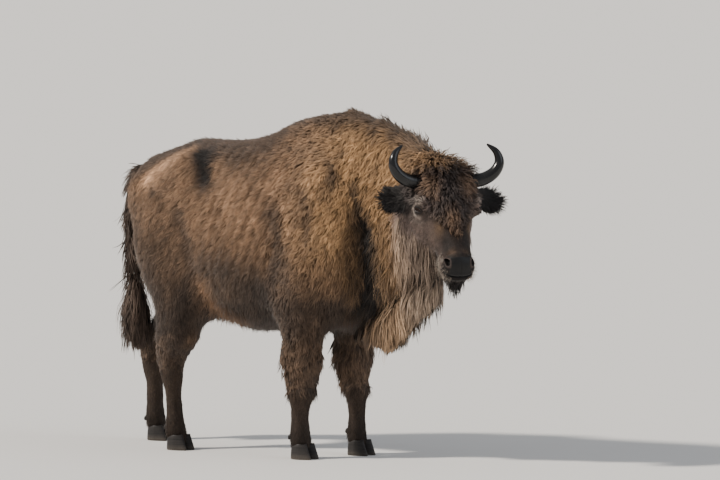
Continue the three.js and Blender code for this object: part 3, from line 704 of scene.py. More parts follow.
def longer_by(points, n, h, zone):
    """How much longer than its zone's the hair of a place is."""
    x, z = points[:, 0], points[:, 2]
    is_in = lambda *names: in_zones(zone, *names)
    behind = smoothstep(-n[:, 0], 0.2, 0.6)
    more = 1 + added(
        (
            (0.9, is_in("foreleg_upper") * smoothstep(-n[:, 0], 0.0, 0.6)),
            (-0.5, is_in("foreleg_upper") * smoothstep(-z, -0.46, -0.32)),
            (1.5, is_in("foreleg_lower") * smoothstep(z, 0.20, 0.30)),
            (1.4, is_in("hindleg_upper") * behind * smoothstep(z, 0.58, 0.70)),
            (1.0, is_in("rump") * behind * smoothstep(-z, -1.05, -0.85)),
            (1.2, is_in("foreleg_lower", "hindleg_lower") * smoothstep(-z, -0.17, -0.12)),
            (0.7, is_in("belly", "shoulder") * smoothstep(x, 0.15, 0.40) * smoothstep(-n[:, 2], 0.1, 0.6)),
            (0.8, is_in("neck") * smoothstep(-z, -1.10, -0.85)),
            (0.5, bell(x, -0.33, 0.10) * bell(z, 0.66, 0.10)),
            (0.45, is_in("shoulder") * bell(x, 0.40, 0.12) * bell(z, 0.80, 0.09)),
            (0.5, is_in("forehead") * smoothstep(h[:, 0], 0.12, 0.26) * bell(h[:, 1], 0, 0.06)),
            (0.65, crest_share(x, n, h)),
            (0.6, is_in("tail") * smoothstep(-z, -1.25, -1.02)),
        )
    )
    for side in SIDES.values():
        away = eye_position(h, side)[3]
        more -= 0.45 * (1 - smoothstep(away, 0.030, 0.060)) * is_in("forehead", "face", "cheek")
    return more


def in_head(at):
    """The head's places, where the skin's mesh is made finer."""
    h = to_head(at)
    return (h[:, 0] > -0.03) & (h[:, 2] > -0.31) & (np.abs(h[:, 1]) < 0.34) & (at[:, 0] > 0.70)


def near_features(at):
    """The places round the eyes and of the muzzle, where it is made finer again."""
    h = to_head(at)
    return (eye_distance(h, -0.03) < 0.060) | ((h[:, 0] > 0.39) & in_head(at))


def at_edges(at):
    """The lids, the nostrils and the mouth's line, where it is finest."""
    h = to_head(at)
    nostrils = [nostril_position(h, side) for side in SIDES.values()]
    nose = np.min([r + 9 * (out < -0.03) for r, out, _ in nostrils], 0)
    over, there = mouth_distance(h)
    lips = (np.abs(over) < 0.009) & (there > 0.1) & in_head(at)
    return (eye_distance(h, -0.01) < 0.034) | (nose < 1.6) | lips


def evened(bm, steps, share_of):
    """Smooths a bmesh by a share that is found from its points and neighbours."""
    points = bm_points(bm)
    spread = Spread(bm_edges(bm), len(points))
    set_bm_points(bm, spread.smooth(points, steps, share_of(points, spread)))


def build_skin_arrays(voxel):
    """Shapes the one skin, and leaves its points, triangles, zones and lie of hair in made."""
    find_owner = owner_finder(FLESH)
    evening = np.array([next(v for k, v in EVENING.items() if k in name) for name in FLESH])
    plugs = [(from_head(np.array(HORN_PLUG[0]) * (1, side, 1)), HORN_PLUG[1]) for side in SIDES.values()]
    bm = remeshed(FLESH, voxel, plugs)
    bm.verts.index_update()
    evened(bm, 32, lambda points, spread: 0.6 * spread.smooth(evening[find_owner(points)], 8))
    for picks in (in_head, near_features, at_edges):
        refine(bm, picks)
        evened(bm, 3, lambda points, spread: 0.5 * picks(points))
    points, triangles, spread = bm_arrays(bm)

    owners = find_owner(points)
    n = unit(spread.smooth(vertex_normals(points, triangles), 4))
    h = to_head(points)
    zone = zones_of(points, n, h, owners)
    table = np.array([ZONES[name][:5] for name in ZONE_NAMES])
    coat = spread.smooth(table[zone], 10)
    coat[:, LENGTH] *= longer_by(points, n, h, zone)
    coat[:, LIFT] += 9 * crest_share(points[:, 0], n, h)
    head_share = np.isin(np.array(FLESH)[owners], ("head", "lower_jaw")).astype(float)
    head_share = spread.smooth(head_share, 6)
    ear_share = spread.smooth(in_zones(zone, "ear").astype(float), 4)
    points = spread.smooth(points, 6, 0.55 * ear_share)
    points = points - n * coat[:, DEPTH : DEPTH + 1]
    points = spread.smooth(points, 2, 0.4)
    points[:, 2] -= ANKLE_DROP * (1 - smoothstep(points[:, 2], ANKLE_TOP - 0.06, ANKLE_TOP))
    body = shape_body(points, n)
    points = mix(body, points, smoothstep(head_share, 0.2, 0.8)[:, None])
    shaped = shape_head(to_head(points), n @ HEAD_AXES)
    points = mix(points, from_head(shaped), smoothstep(head_share, 0.05, 0.5)[:, None])
    n = vertex_normals(points, triangles)
    made.update(points=points, triangles=triangles, spread=spread, normals=n)
    made.update(owners=owners, zone=zone, coat=coat)
    made.update(head=to_head(points), head_share=head_share)


# ---- Lie of the coat, its markings, and its painted light and shade ----
def lie_of_head(h, n):
    """The direction the hair of the head lies in, in the head's frame."""
    x, y, z = h.T
    side = np.sign(y)
    lie = rows(0.35, 0.1 * side, -0.95)
    layers = (
        (rows(0.85, 0.45 * side, -0.25), smoothstep(z, -0.07, -0.02) * smoothstep(x, 0.24, 0.32)),
        (rows(0.9, y * 5, -0.1), smoothstep(z, -0.075, -0.03) * (1 - smoothstep(x, 0.26, 0.34))),
        (-HEAD_AXES[2], smoothstep(-n[:, 2], 0.5, 0.8)),
        (rows(-0.45, 0.35 * side, -0.75), 0.7 * smoothstep(x, 0.40, 0.44)),
    )
    for way, share in layers:
        lie = mix(lie, way, share[:, None])
    for s in SIDES.values():
        along, high, out, away = eye_position(h, s)
        _, ahead, up = eye_axes(s)
        round_eye = (1 - smoothstep(away, 0.035, 0.07)) * (out > -0.03)
        ray = along[:, None] * ahead + high[:, None] * up
        lie = mix(lie, unit(ray) - 0.9 * ahead, 0.65 * round_eye[:, None])
        root = np.linalg.norm(h - np.array((0.045, 0.120 * s, -0.022)), axis=1)
        lie = mix(lie, np.array((0.25, s, 0.1)), (1 - smoothstep(root, 0.045, 0.090))[:, None])
    return lie


def lie_of_coat():
    """Tangent directions of the hair over the whole skin."""
    points, n, h = made["points"], made["normals"], made["head"]
    names = np.array(FLESH)[made["owners"]]
    x, z = points[:, 0], points[:, 2]
    back = smoothstep(n[:, 2], 0.45, 0.85)[:, None]
    front = smoothstep(x, 0.0, 0.35)[:, None]
    rump = smoothstep(-x, 0.55, 0.80)[:, None]
    lie = np.tile((-0.62, 0, -0.70), (len(points), 1))
    lie = mix(lie, np.array((-1.0, 0, -0.15)), back)
    lie = mix(lie, np.array((-0.34, 0, -0.9)), front * (1 - 0.7 * back))
    lie = mix(lie, np.array((-0.30, 0, -0.95)), rump * (1 - 0.5 * back))
    lie = mix(lie, np.array((-0.22, 0, -0.97)), smoothstep(-z, -0.95, -0.70)[:, None])
    neck = mix(np.array((-0.28, 0, -0.95)), np.array((-0.75, 0, 0.35)), back * 0.8)
    leg = np.char.startswith(names, "fore") | np.char.startswith(names, "hind")
    for place, way in ((names == "neck", neck), (leg, (-0.12, 0, -1.0)), (names == "tail", (-0.05, 0, -1.0))):
        lie = np.where(place[:, None], way, lie)
    head = np.isin(names, ("head", "lower_jaw"))
    lie[head] = lie_of_head(h[head], n[head] @ HEAD_AXES) @ HEAD_AXES.T
    for name, side in SIDES.items():
        ear = names == f"ear_{name}"
        axis = unit((np.array(EAR_TIPS[name]) - EAR_ROOT) * (1, side, 1))
        d = h[ear] - EAR_ROOT * (1, side, 1)
        aside = unit(d - (d @ axis)[:, None] * axis)
        lie[ear] = (0.8 * axis + 0.7 * aside) @ HEAD_AXES.T
    for centre in (WHORL, WHORL * (1, -1, 1)):
        d = points - centre
        away = np.linalg.norm(d, axis=1)
        swirl = np.cross(n, d) * 0.8 + d
        lie = mix(lie, unit(swirl), (0.9 * (1 - smoothstep(away, 0.02, 0.075)))[:, None])
    lie = lie - n * dot(lie, n)[:, None]
    lie = made["spread"].smooth(unit(lie), 12)
    return unit(lie - n * dot(lie, n)[:, None])


def painted(base, colours, layers):
    """A base colour with named colours laid over it, each by its share at each place."""
    for name, share in layers:
        base = mix(base, np.array(colours[name]), np.clip(share, 0, 1)[:, None])
    return base


def body_colour_and_painted_light(points, n, zone, colours):
    """Golden in front, brown flank with dark gaps, dark spine and legs, painted light that grows towards the top,
    darker hair and painted shade low down and underneath, painted shade in the hollows, and a painted highlight on
    the hip.
    """
    x, y, z = points.T
    up, low = n[:, 2], -z
    is_in = lambda *names: in_zones(zone, *names)
    neck, tail = is_in("neck"), is_in("tail")
    beside = smoothstep(np.abs(n[:, 1]), 0.25, 0.6)
    rear = smoothstep(-x, 0.46, 0.54)
    spine = 1 - smoothstep(np.abs(y), 0.125, 0.150)
    steep = mix(smoothstep(up, 0.25, 0.70), smoothstep(up, 0.42, 0.85), smoothstep(x, -0.10, 0.15))
    top = mix(steep, spine * smoothstep(up, 0.3, 0.6), rear)
    # painted highlight along the ridge of the hips and on the hip bone, where light from above catches them
    hip_ridge_highlight = bell(np.abs(y), 0.176, 0.026) * rear * smoothstep(up, 0.2, 0.4) * smoothstep(z, 1.18, 1.28)
    hip_bone_highlight = bell(x, -0.75, 0.09) * smoothstep(z, 1.18, 1.27) * beside
    gaps = smoothstep(noise(points * (1, 1, 0.35), 0.045, 14), 0.15, 0.60)
    limb = 0.4 * is_in("foreleg_upper") + 1.2 * is_in("hindleg_upper")
    cannon = is_in("foreleg_lower", "hindleg_lower")
    flat = points * (1, 0, 1)
    streaks = 1 + 0.45 * noise(points * (1, 1, 0.25), 0.030, 13)

    def painted_band(strength, width, path):
        reach = path_distance(flat, [(a, 0, b) for a, b in path])
        return strength * bell(reach, 0, width * streaks) * beside

    c = np.tile(np.array(colours["flank"]), (len(points), 1))
    front = smoothstep(x, 0.00, 0.42) * smoothstep(z, 0.75, 1.10)
    c = painted(c, colours, (("gold", front), ("gold", neck * 0.95)))
    # painted light: lighter towards the top, where light from above falls; the neck's colour a little darker
    c = c * ((1 - 0.14 * neck) * mix(0.82, 1.18, smoothstep(z, 0.90, 1.22)))[:, None]
    c = painted(
        c,
        colours,
        (
            ("dark", 0.30 * smoothstep(-x, 0.45, 0.60)),
            ("dark", 0.82 * top * smoothstep(z, 1.2, 1.35)),
            # painted highlight: the flank's colour back on the ridge of the hips
            ("flank", hip_ridge_highlight),
        ),
    )
    # painted highlight on the ridge of the hips and on the hip bone
    c = c * ((1 + 0.85 * hip_ridge_highlight) * (1 + 0.45 * hip_bone_highlight))[:, None]
    c = painted(
        c,
        colours,
        (
            ("dark", 0.45 * smoothstep(x, 0.0, 0.3) * smoothstep(z, 1.47, 1.60)),
            # darker towards the bottom and on faces turned down: partly darker hair, partly painted shade (this row
            # and the next two)
            ("dark", (0.76 - 0.40 * limb) * smoothstep(low, -1.02, -0.66) * (x < 0.60)),
            ("dark", 0.35 * smoothstep(-x, 0.45, 0.75) * smoothstep(low, -1.15, -0.95)),
            ("dark", 0.7 * smoothstep(-up, 0.35, 0.8) * smoothstep(low, -0.95, -0.8)),
            ("dark", gaps * (0.22 + 0.28 * smoothstep(x, -0.1, 0.3))),
            # the marks, among them painted shade in the grooves and hollows
            *((name, painted_band(strength, width, path)) for name, strength, width, path in MARKS_AND_PAINTED_SHADE),
            ("dark", 0.36 * limb * smoothstep(low, -0.62, -0.45)),
            ("dark", 0.72 * is_in("foreleg_lower") + 0.10 * is_in("hindleg_lower")),
            ("black", 0.45 * cannon * smoothstep(low, -0.3, -0.10)),
            ("dark", tail),
        ),
    )
    return c * (1 + 0.35 * tail)[:, None]


def head_markings(h, zone, colours):
    """Dark face with grey brown cheeks, a golden patch and bridge, and pale rings round the eyes."""
    x, y, z = h.T
    ay = np.abs(y)
    is_in = lambda *names: in_zones(zone, *names)
    face = np.tile(np.array(colours["face"]), (len(h), 1))
    face = painted(
        face,
        colours,
        (
            ("cheek", smoothstep(-z, 0.10, 0.17) * (1 - smoothstep(x, 0.33, 0.43))),
            ("cheek", 0.80 * smoothstep(ay, 0.050, 0.095) * smoothstep(x, 0.13, 0.19) * (x < 0.46)),
            ("gold", 0.55 * smoothstep(-z, 0.19, 0.26) * (1 - smoothstep(x, 0.25, 0.36))),
            ("gold", 0.40 * bell(ay, 0.066, 0.018) * bell(x, 0.275, 0.045)),
            ("gold", 0.55 * smoothstep(-x, -0.010, 0.045) * (z > -0.12)),
            ("flank", 0.52 * bell(y, -0.005, 0.026) * smoothstep(x, 0.12, 0.20) * bell(x, 0.25, 0.09)),
            ("flank", 0.45 * bell(ay, 0.075, 0.035) * bell(x, 0.07, 0.06) * is_in("forehead")),
            ("flank", 0.30 * bell(x, 0.425, 0.022) * bell(ay, 0.030, 0.022) * (z > -0.05)),
            ("dark", 0.5 * is_in("jaw")),
        ),
    )
    face = face * (1 + 0.45 * is_in("forehead"))[:, None]
    layers = [
        ("black", 0.55 * is_in("muzzle")),
        ("cheek", 0.60 * bell(x, 0.440, 0.035) * smoothstep(-z, 0.045, 0.075)),
    ]
    for s in SIDES.values():
        along, high, out, away = eye_position(h, s)
        near = bell(away, 0.033, 0.008) * (1 - smoothstep(along, 0.008, 0.024))
        far = bell(away, 0.060, 0.009) * smoothstep(-high, 0.025, 0.045) * (1 - smoothstep(along, 0.02, 0.05))
        brow = bell(high - 0.036 + 0.5 * along, 0, 0.007) * bell(along, -0.006, 0.024)
        layers += [
            ("face", 0.6 * bell(away, 0.053, 0.011) * (out > -0.03)),
            ("black", 0.75 * bell(away, 0.016, 0.014) * (out > -0.025)),
            ("ring", np.clip(near + 0.2 * far + 0.55 * brow, 0, 0.95) * (out > -0.03)),
        ]
    return painted(face, colours, (*layers, ("black", is_in("ear"))))


def coat_colour_and_painted_light(points, n, h, zone, colours):
    """The coat's colour at each place, with painted light and shade on the body, as linear light."""
    head = in_zones(zone, *HEAD_ZONES)[:, None]
    c = np.where(head, head_markings(h, zone, colours), body_colour_and_painted_light(points, n, zone, colours))
    patchy = 1 + 0.18 * noise(points, 0.11, 11) + 0.16 * noise(points * (1, 1, 0.5), 0.034, 12)
    return np.clip(c * patchy[:, None], 0.002, 1)


# ---- Tufts ----
def tuft_faces(rings):
    """Triangles of one closed tuft: rings of three points and a tip."""
    faces = [(0, 2, 1)]
    for k, a in product(range(rings), range(3)):
        b = (a + 1) % 3
        low_a, low_b = 3 * k + a, 3 * k + b
        if k == rings - 1:
            faces.append((low_a, low_b, 3 * rings))
            continue
        faces.append((low_a, low_b, low_b + 3))
        faces.append((low_a, low_b + 3, low_a + 3))
    return np.array(faces)


def swelling(s):
    """Width of a tuft along its length, as a share of its widest."""
    return (0.78 + 1.45 * s) * (1 - s) ** 0.72


def grow_tufts(roots, rings):
    """Points of closed tufts from arrays by name: each tuft has rings of three points and a tip."""
    p, up, lie = roots["at"], roots["up"], roots["lie"]
    across = unit(np.cross(lie, up))
    length, width = roots["length"], roots["width"]
    count = len(p)
    line = [p - up * (0.10 * width)[:, None]]
    directions = []
    for k in range(rings):
        s = (k + 0.5) / rings
        angle = mix(roots["lift"], roots["settle"], s)
        sway = roots["bend"] * s + roots["curl"] * np.sin(roots["phase"] + 2 * math.pi * roots["turns"] * s)
        flat = np.cos(sway)[:, None] * lie + np.sin(sway)[:, None] * across
        rise = angle + 0.8 * roots["curl"] * np.cos(roots["phase"] + 2 * math.pi * roots["turns"] * s)
        step = np.cos(rise)[:, None] * flat + np.sin(rise)[:, None] * up + roots["fall"] * (0.3 + 0.7 * s)
        directions.append(unit(step))
        line.append(line[-1] + directions[-1] * (length / rings)[:, None])
    drawn = roots["pull"]
    for k in range(1, rings + 1):
        line[k] = line[k] + drawn * (k / rings) ** 1.5
    points = np.empty((count, 3 * rings + 1, 3))
    normals = np.empty_like(points)
    for k in range(rings):
        forward = directions[0] if k == 0 else unit(line[k + 1] - line[k - 1])
        side = unit(np.cross(forward, up))
        top = np.cross(side, forward)
        turn = roots["twist"][:, None]
        e1 = np.cos(turn) * side + np.sin(turn) * top
        e2 = np.cos(turn) * top - np.sin(turn) * side
        half = (0.5 * width * swelling(k / rings))[:, None]
        points[:, 3 * k] = line[k] - e1 * half
        points[:, 3 * k + 1] = line[k] + e2 * half * roots["plump"]
        points[:, 3 * k + 2] = line[k] + e1 * half
        normals[:, 3 * k] = unit(0.9 * up + 0.45 * e2 - 0.6 * e1)
        normals[:, 3 * k + 1] = unit(0.9 * up + 0.45 * e2)
        normals[:, 3 * k + 2] = unit(0.9 * up + 0.45 * e2 + 0.6 * e1)
    points[:, -1] = line[rings]
    normals[:, -1] = unit(up + 0.5 * directions[-1])
    return points, normals


def coat_mesh(name, roots, rings, rng):
    """The mesh of a whole coat piece, with its colours and UV maps."""
    points, normals = grow_tufts(roots, rings)
    count, each = points.shape[:2]
    triangles = (tuft_faces(rings)[None] + (np.arange(count) * each)[:, None, None]).reshape(-1, 3)
    mesh = mesh_from_arrays(name, points.reshape(-1, 3), triangles)
    along = np.append(np.repeat(np.arange(rings) / rings, 3), 1.0)
    aside = np.append(np.tile((0.0, 0.5, 1.0), rings), 0.5)
    shade = roots["root_shade"] + (1 - roots["root_shade"]) * smoothstep(along, 0.0, 0.62)
    tip = 1 + roots["tip_light"] * smoothstep(along, 0.55, 1.0)
    colour = roots["colour"][:, None, :] * (shade * tip)[None, :, None]
    colour_attribute(mesh, "coat", colour.reshape(-1, 3))
    flat = np.stack([aside - 0.5, along - 0.5], 1) * 0.003  # each tuft's patch of the bake
    uv_map(mesh, "OFBake", (roots["unwrap"][:, None, :] + flat[None]).reshape(-1, 2))
    strand = np.empty((count, each, 2))
    strand[:, :, 0] = aside[None] + 3 * np.arange(count)[:, None] % 997
    strand[:, :, 1] = along[None] * (roots["length"] / 0.05)[:, None] + rng.random(count)[:, None] * 40
    uv_map(mesh, "Strand", strand.reshape(-1, 2))
    mesh.normals_split_custom_set_from_vertices(normals.reshape(-1, 3))
    return mesh


def scatter(points, triangles, density_spacing, rng):
    """Roots spread over triangles, one in each cell of a grid as wide as the spacing there."""
    area = 0.5 * np.linalg.norm(triangle_normals(points, triangles), axis=1)
    spacing = density_spacing[triangles].mean(axis=1)
    expected = area / spacing**2 * 2.6
    picks = rng.poisson(expected)
    face = np.repeat(np.arange(len(triangles)), picks)
    a, b = rng.random((2, len(face)))
    over = a + b > 1
    a[over], b[over] = 1 - a[over], 1 - b[over]
    weights = np.stack([1 - a - b, a, b], 1)
    at = np.einsum("ik,ikj->ij", weights, points[triangles[face]])
    order = rng.permutation(len(face))
    face, weights, at = face[order], weights[order], at[order]
    step = np.exp(np.round(np.log(spacing[face]) / 0.12) * 0.12)
    cell = np.floor(at / step[:, None]).astype(np.int64)
    key = cell_key(cell) ^ (step * 1e7).astype(np.int64)
    keep = np.sort(np.unique(key, return_index=True)[1])
    return face[keep], weights[keep], at[keep]


def nearest(centres, points):
    tree = KDTree(len(centres))
    for i, centre in enumerate(centres):
        tree.insert(centre, i)
    tree.balance()
    return np.array([tree.find(p)[1] for p in points])


def clumped(roots, size, strength, rng):
    """Draws the tips of tufts together in clumps, and gives each clump its own tint, length and turn."""
    at = roots["at"]
    centre = np.unique(cell_key(np.floor(at / size).astype(np.int64)), return_index=True)[1]
    owner = nearest(at[centre], at)
    lead = centre[owner]
    reach = roots["length"][:, None] * roots["lie"]
    own_tip = at + reach
    lead_tip = at[lead] + roots["length"][lead][:, None] * roots["lie"][lead]
    roots["pull"] = roots["pull"] + (lead_tip - own_tip) * strength
    tint = rng.normal(1, roots.get("clump_tint", 0.16), len(centre))[owner]
    roots["colour"] = roots["colour"] * np.clip(tint, 0.6, 1.5)[:, None]
    roots["length"] = roots["length"] * np.clip(rng.normal(1, 0.13, len(centre))[owner], 0.6, 1.4)
    roots["bend"] = roots["bend"] + rng.normal(0, 0.28, len(centre))[owner]
    roots["lift"] = roots["lift"] + rng.normal(0, 0.10, len(centre))[owner]


def leg_middle(zone_names, side):
    """The middle of a leg at a few heights, from the skin."""
    mask = in_zones(made["zone"], *zone_names) & (made["points"][:, 1] * side > 0)
    points = made["points"][mask]
    levels = np.linspace(points[:, 2].min(), points[:, 2].max(), 12)
    middle = [points[np.abs(points[:, 2] - level) < 0.05, :2].mean(axis=0) for level in levels]
    return levels, np.array(middle)


def unwrap_places(at, kind, zone_names):
    """Places on an unwrap of the skin: round the axis of body, leg, head or ear, and along it."""
    x, y, z = at.T
    h = to_head(at)
    u, v = np.zeros(len(at)), np.zeros(len(at))
    if kind == "body":
        u, v = np.arctan2(y, z - 1.0), x + 0.25 * (z - 1.0)
    if kind == "head":
        u, v = np.arctan2(h[:, 1], h[:, 2] + 0.10), h[:, 0] - 0.3 * h[:, 2]
    if kind in ("body", "head"):
        return 0.01 + 0.98 * np.stack([(u - u.min()) / np.ptp(u), (v - v.min()) / np.ptp(v)], 1)
    for side in SIDES.values():
        mine = (h[:, 1] if kind == "ear" else y) * side > 0
        if kind == "leg":
            levels, middle = leg_middle(zone_names, side)
            centre = np.stack([np.interp(z[mine], levels, middle[:, k]) for k in range(2)], 1)
            angle = np.arctan2(y[mine] - centre[:, 1], x[mine] - centre[:, 0])
            along = z[mine]
        else:
            d = h[mine] - EAR_ROOT * (1, side, 1)
            angle, along = np.arctan2(d[:, 2] + 0.2 * np.abs(d[:, 1]), d[:, 0]), np.abs(d[:, 1])
        share = (angle + math.pi) / (2 * math.pi)
        u[mine] = 0.01 + 0.47 * share + (0.5 if side > 0 else 0)
        v[mine] = 0.01 + 0.98 * (along - along.min()) / max(np.ptp(along), 1e-6)
    return np.stack([u, v], 1)


def surface_roots(points, triangles, normals, lie, coat, colour, rng):
    """Roots of tufts over a surface, with the coat's values there: see ZONES for the columns of coat."""
    face, weights, at = scatter(points, triangles, coat[:, SPACING], rng)
    corner = triangles[face]

    def carry(values):
        if values.ndim == 1:
            return np.einsum("ik,ik->i", weights, values[corner])
        return np.einsum("ik,ikj->ij", weights, values[corner])

    up, lie, values = unit(carry(normals)), unit(carry(lie)), carry(coat)
    count = len(at)
    wander = 0.30 * noise(at, 0.055, 21) + 0.35 * noise(at, 0.022, 22) + rng.normal(0, 0.17, count)
    lie = np.cos(wander)[:, None] * lie + np.sin(wander)[:, None] * unit(np.cross(lie, up))
    lift = np.radians(values[:, LIFT])
    tint = np.clip(rng.normal(1, 0.14, count), 0.6, 1.5)
    return {
        "at": at,
        "up": up,
        "lie": lie,
        "corner": corner,
        "length": values[:, LENGTH] * np.clip(rng.normal(1, 0.14, count), 0.6, 1.5),
        "width": values[:, WIDTH] * np.clip(rng.normal(1, 0.18, count), 0.5, 1.5),
        "lift": lift * np.clip(rng.normal(1.25, 0.25, count), 0.5, 2.0),
        "settle": lift * rng.normal(0.35, 0.25, count),
        "bend": rng.normal(0, 0.22, count),
        "curl": np.full(count, 0.10),
        "turns": rng.uniform(0.6, 1.2, count),
        "phase": rng.uniform(0, 2 * math.pi, count),
        "twist": rng.normal(0, 0.40, count),
        "fall": np.array((0, 0, -0.10)),
        "pull": np.zeros((count, 3)),
        "plump": 0.60,
        "colour": carry(colour) * tint[:, None],
        "root_shade": 0.50,
        "tip_light": 0.25,
    }


def kept_roots(roots, keep):
    """The roots that the test keeps. Values that all share stay as they are."""
    each = lambda value: isinstance(value, np.ndarray) and len(value) == len(keep)
    return {key: value[keep] if each(value) else value for key, value in roots.items()}


def skin_triangles(zone_names, side):
    """The skin's triangles in some zones, on one side of the body or both."""
    triangles = made["triangles"]
    wanted = in_zones(made["zone"][triangles[:, 0]], *zone_names)
    if side:
        wanted &= made["points"][triangles].mean(axis=1)[:, 1] * side > 0
    return triangles[wanted]


# Coat pieces: zones, kind of unwrap, whether right and left are pieces of their own, clump size as a share,
# how strongly clumps draw together, curl, material
COAT_PIECES = {
    "coat_rump": (("rump",), "body", True, 0.8, 0.34, 0.10, "wool"),
    "coat_flank": (("flank",), "body", True, 0.8, 0.34, 0.10, "wool"),
    "coat_hump": (("hump",), "body", True, 0.85, 0.42, 0.26, "wool"),
    "coat_shoulder": (("shoulder",), "body", True, 0.85, 0.42, 0.16, "wool"),
    "coat_belly": (("belly",), "body", False, 1.1, 0.45, 0.14, "wool"),
    "coat_neck": (("neck",), "body", True, 0.9, 0.48, 0.20, "wool"),
    "coat_forearms": (("foreleg_upper",), "leg", False, 0.9, 0.50, 0.12, "long_hair"),
    "coat_shanks": (("hindleg_upper",), "leg", False, 0.8, 0.35, 0.08, "wool"),
    "coat_fore_cannons": (("foreleg_lower",), "leg", False, 0.4, 0.25, 0.04, "short_hair"),
    "coat_hind_cannons": (("hindleg_lower",), "leg", False, 0.4, 0.25, 0.04, "short_hair"),
    "coat_tail": (("tail",), "body", False, 0.9, 0.30, 0.05, "long_hair"),
    "coat_forehead": (("forehead",), "head", False, 0.7, 0.60, 0.42, "long_hair"),
    "coat_cheeks": (("cheek", "jaw"), "head", False, 0.5, 0.40, 0.10, "wool"),
    "coat_face": (("face", "muzzle"), "head", False, 0.30, 0.25, 0.04, "short_hair"),
    "coat_ears": (("ear",), "ear", False, 0.5, 0.15, 0.10, "long_hair"),
}


# ---- Materials ----
def new_material(name):
    material = bpy.data.materials.new(name)
    material.use_nodes = True
    tree = material.node_tree
    return material, tree, tree.nodes["Principled BSDF"]


def feed(tree, value, socket):
    """Links an output to a socket, or sets the socket to a plain value."""
    if isinstance(value, bpy.types.NodeSocket):
        tree.links.new(value, socket)
    else:
        socket.default_value = value


def node(tree, kind, settings=None, inputs=None):
    """A new node with its settings, and its inputs as links or plain values."""
    made_node = tree.nodes.new(kind)
    for key, value in (settings or {}).items():
        setattr(made_node, key, value)
    for key, value in (inputs or {}).items():
        feed(tree, value, made_node.inputs[key])
    return made_node


def link(tree, source, target):
    tree.links.new(source, target)


def attribute(tree, name):
    return node(tree, "ShaderNodeAttribute", {"attribute_name": name})


def object_place(tree):
    return node(tree, "ShaderNodeTexCoord").outputs["Object"]


def noise_of(tree, vector, scale, detail=3.0, rough=0.55):
    inputs = {"Vector": vector, "Scale": scale, "Detail": detail, "Roughness": rough}
    return node(tree, "ShaderNodeTexNoise", None, inputs).outputs["Fac"]


def scaled_vector(tree, source, scale):
    return node(tree, "ShaderNodeMapping", None, {"Scale": scale, "Vector": source}).outputs["Vector"]


def mixed(tree, kind, factor, a, b):
    """A mix of two colours, vectors or numbers: kind is RGBA, VECTOR or FLOAT."""
    inputs = {"Factor": factor, "A": a, "B": b}
    return node(tree, "ShaderNodeMix", {"data_type": kind}, inputs).outputs["Result"]


def colour_times(tree, colour, factor):
    settings = {"data_type": "RGBA", "blend_type": "MULTIPLY"}
    inputs = {"Factor": 1.0, "A": colour, "B": factor}
    return node(tree, "ShaderNodeMix", settings, inputs).outputs["Result"]


def plain_colour(tree, colour):
    made_node = node(tree, "ShaderNodeRGB")
    made_node.outputs[0].default_value = (*colour, 1)
    return made_node.outputs[0]


def ranged(tree, value, low, high, from_low=0.0, from_high=1.0):
    """Maps one range of a value to another."""
    inputs = {"Value": value, "From Min": from_low, "From Max": from_high, "To Min": low, "To Max": high}
    return node(tree, "ShaderNodeMapRange", None, inputs).outputs["Result"]


def bump(tree, height, strength, distance, normal=None):
    inputs = {"Height": height, "Strength": strength, "Distance": distance}
    if normal is not None:
        inputs["Normal"] = normal
    return node(tree, "ShaderNodeBump", None, inputs).outputs["Normal"]


def coat_material(name, roughness, sheen, streak):
    """Hair in tufts: the marking's colour, broken along each lock into fine strands."""
    material, tree, shader = new_material(name)
    strand = node(tree, "ShaderNodeUVMap", {"uv_map": "Strand"}).outputs["UV"]
    fine = noise_of(tree, scaled_vector(tree, strand, (9.0, 1.1, 1.0)), 1.0, 3.0, 0.6)
    broad = noise_of(tree, object_place(tree), 26.0)
    colour = attribute(tree, "coat").outputs["Color"]
    colour = colour_times(tree, colour, ranged(tree, fine, 1 - streak, 1 + streak, 0.28, 0.72))
    colour = colour_times(tree, colour, ranged(tree, broad, 0.84, 1.16, 0.3, 0.7))
    link(tree, colour, shader.inputs["Base Color"])
    link(tree, bump(tree, fine, 0.7, 0.0012), shader.inputs["Normal"])
    shader.inputs["Roughness"].default_value = roughness
    shader.inputs["Specular IOR Level"].default_value = 0.25
    shader.inputs["Sheen Weight"].default_value = sheen
    shader.inputs["Sheen Roughness"].default_value = 0.5
    return material


def skin_material():
    """Hide under the coat, and bare wet leather on nose, lips and lids."""
    material, tree, shader = new_material("wisent_hide")
    bare = attribute(tree, "bare").outputs["Fac"]
    pad = attribute(tree, "pad").outputs["Fac"]
    hide = attribute(tree, "hide").outputs["Color"]
    place = object_place(tree)
    hair = noise_of(tree, attribute(tree, "grain").outputs["Vector"], 520.0, 3.0, 0.6)
    wool = noise_of(tree, place, 90.0, 4.0, 0.6)
    fine = noise_of(tree, place, 700.0)
    edges = {"feature": "DISTANCE_TO_EDGE"}
    cells = node(tree, "ShaderNodeTexVoronoi", edges, {"Vector": place, "Scale": 260.0})
    grooves = ranged(tree, cells.outputs["Distance"], 0.0, 1.0, 0.0, 0.16)
    hairy = colour_times(tree, hide, ranged(tree, hair, 0.62, 1.38, 0.3, 0.7))
    leathery = colour_times(tree, hide, ranged(tree, wool, 0.75, 1.25, 0.3, 0.7))
    link(tree, mixed(tree, "RGBA", bare, hairy, leathery), shader.inputs["Base Color"])
    combed = bump(tree, wool, 0.4, 0.004, bump(tree, hair, 0.8, 0.0018))
    grained = bump(tree, fine, 0.2, 0.0004, bump(tree, grooves, 0.40, 0.0006))
    link(tree, mixed(tree, "VECTOR", bare, combed, grained), shader.inputs["Normal"])
    wet = ranged(tree, pad, 0.62, 0.42)
    link(tree, mixed(tree, "FLOAT", bare, 0.85, wet), shader.inputs["Roughness"])
    shader.inputs["Specular IOR Level"].default_value = 0.26
    return material


# ---- Settings ----
def colour_property(name, description, value):
    return FloatVectorProperty(
        name=name, description=description, default=value, size=3, min=0, max=1, subtype="COLOR"
    )


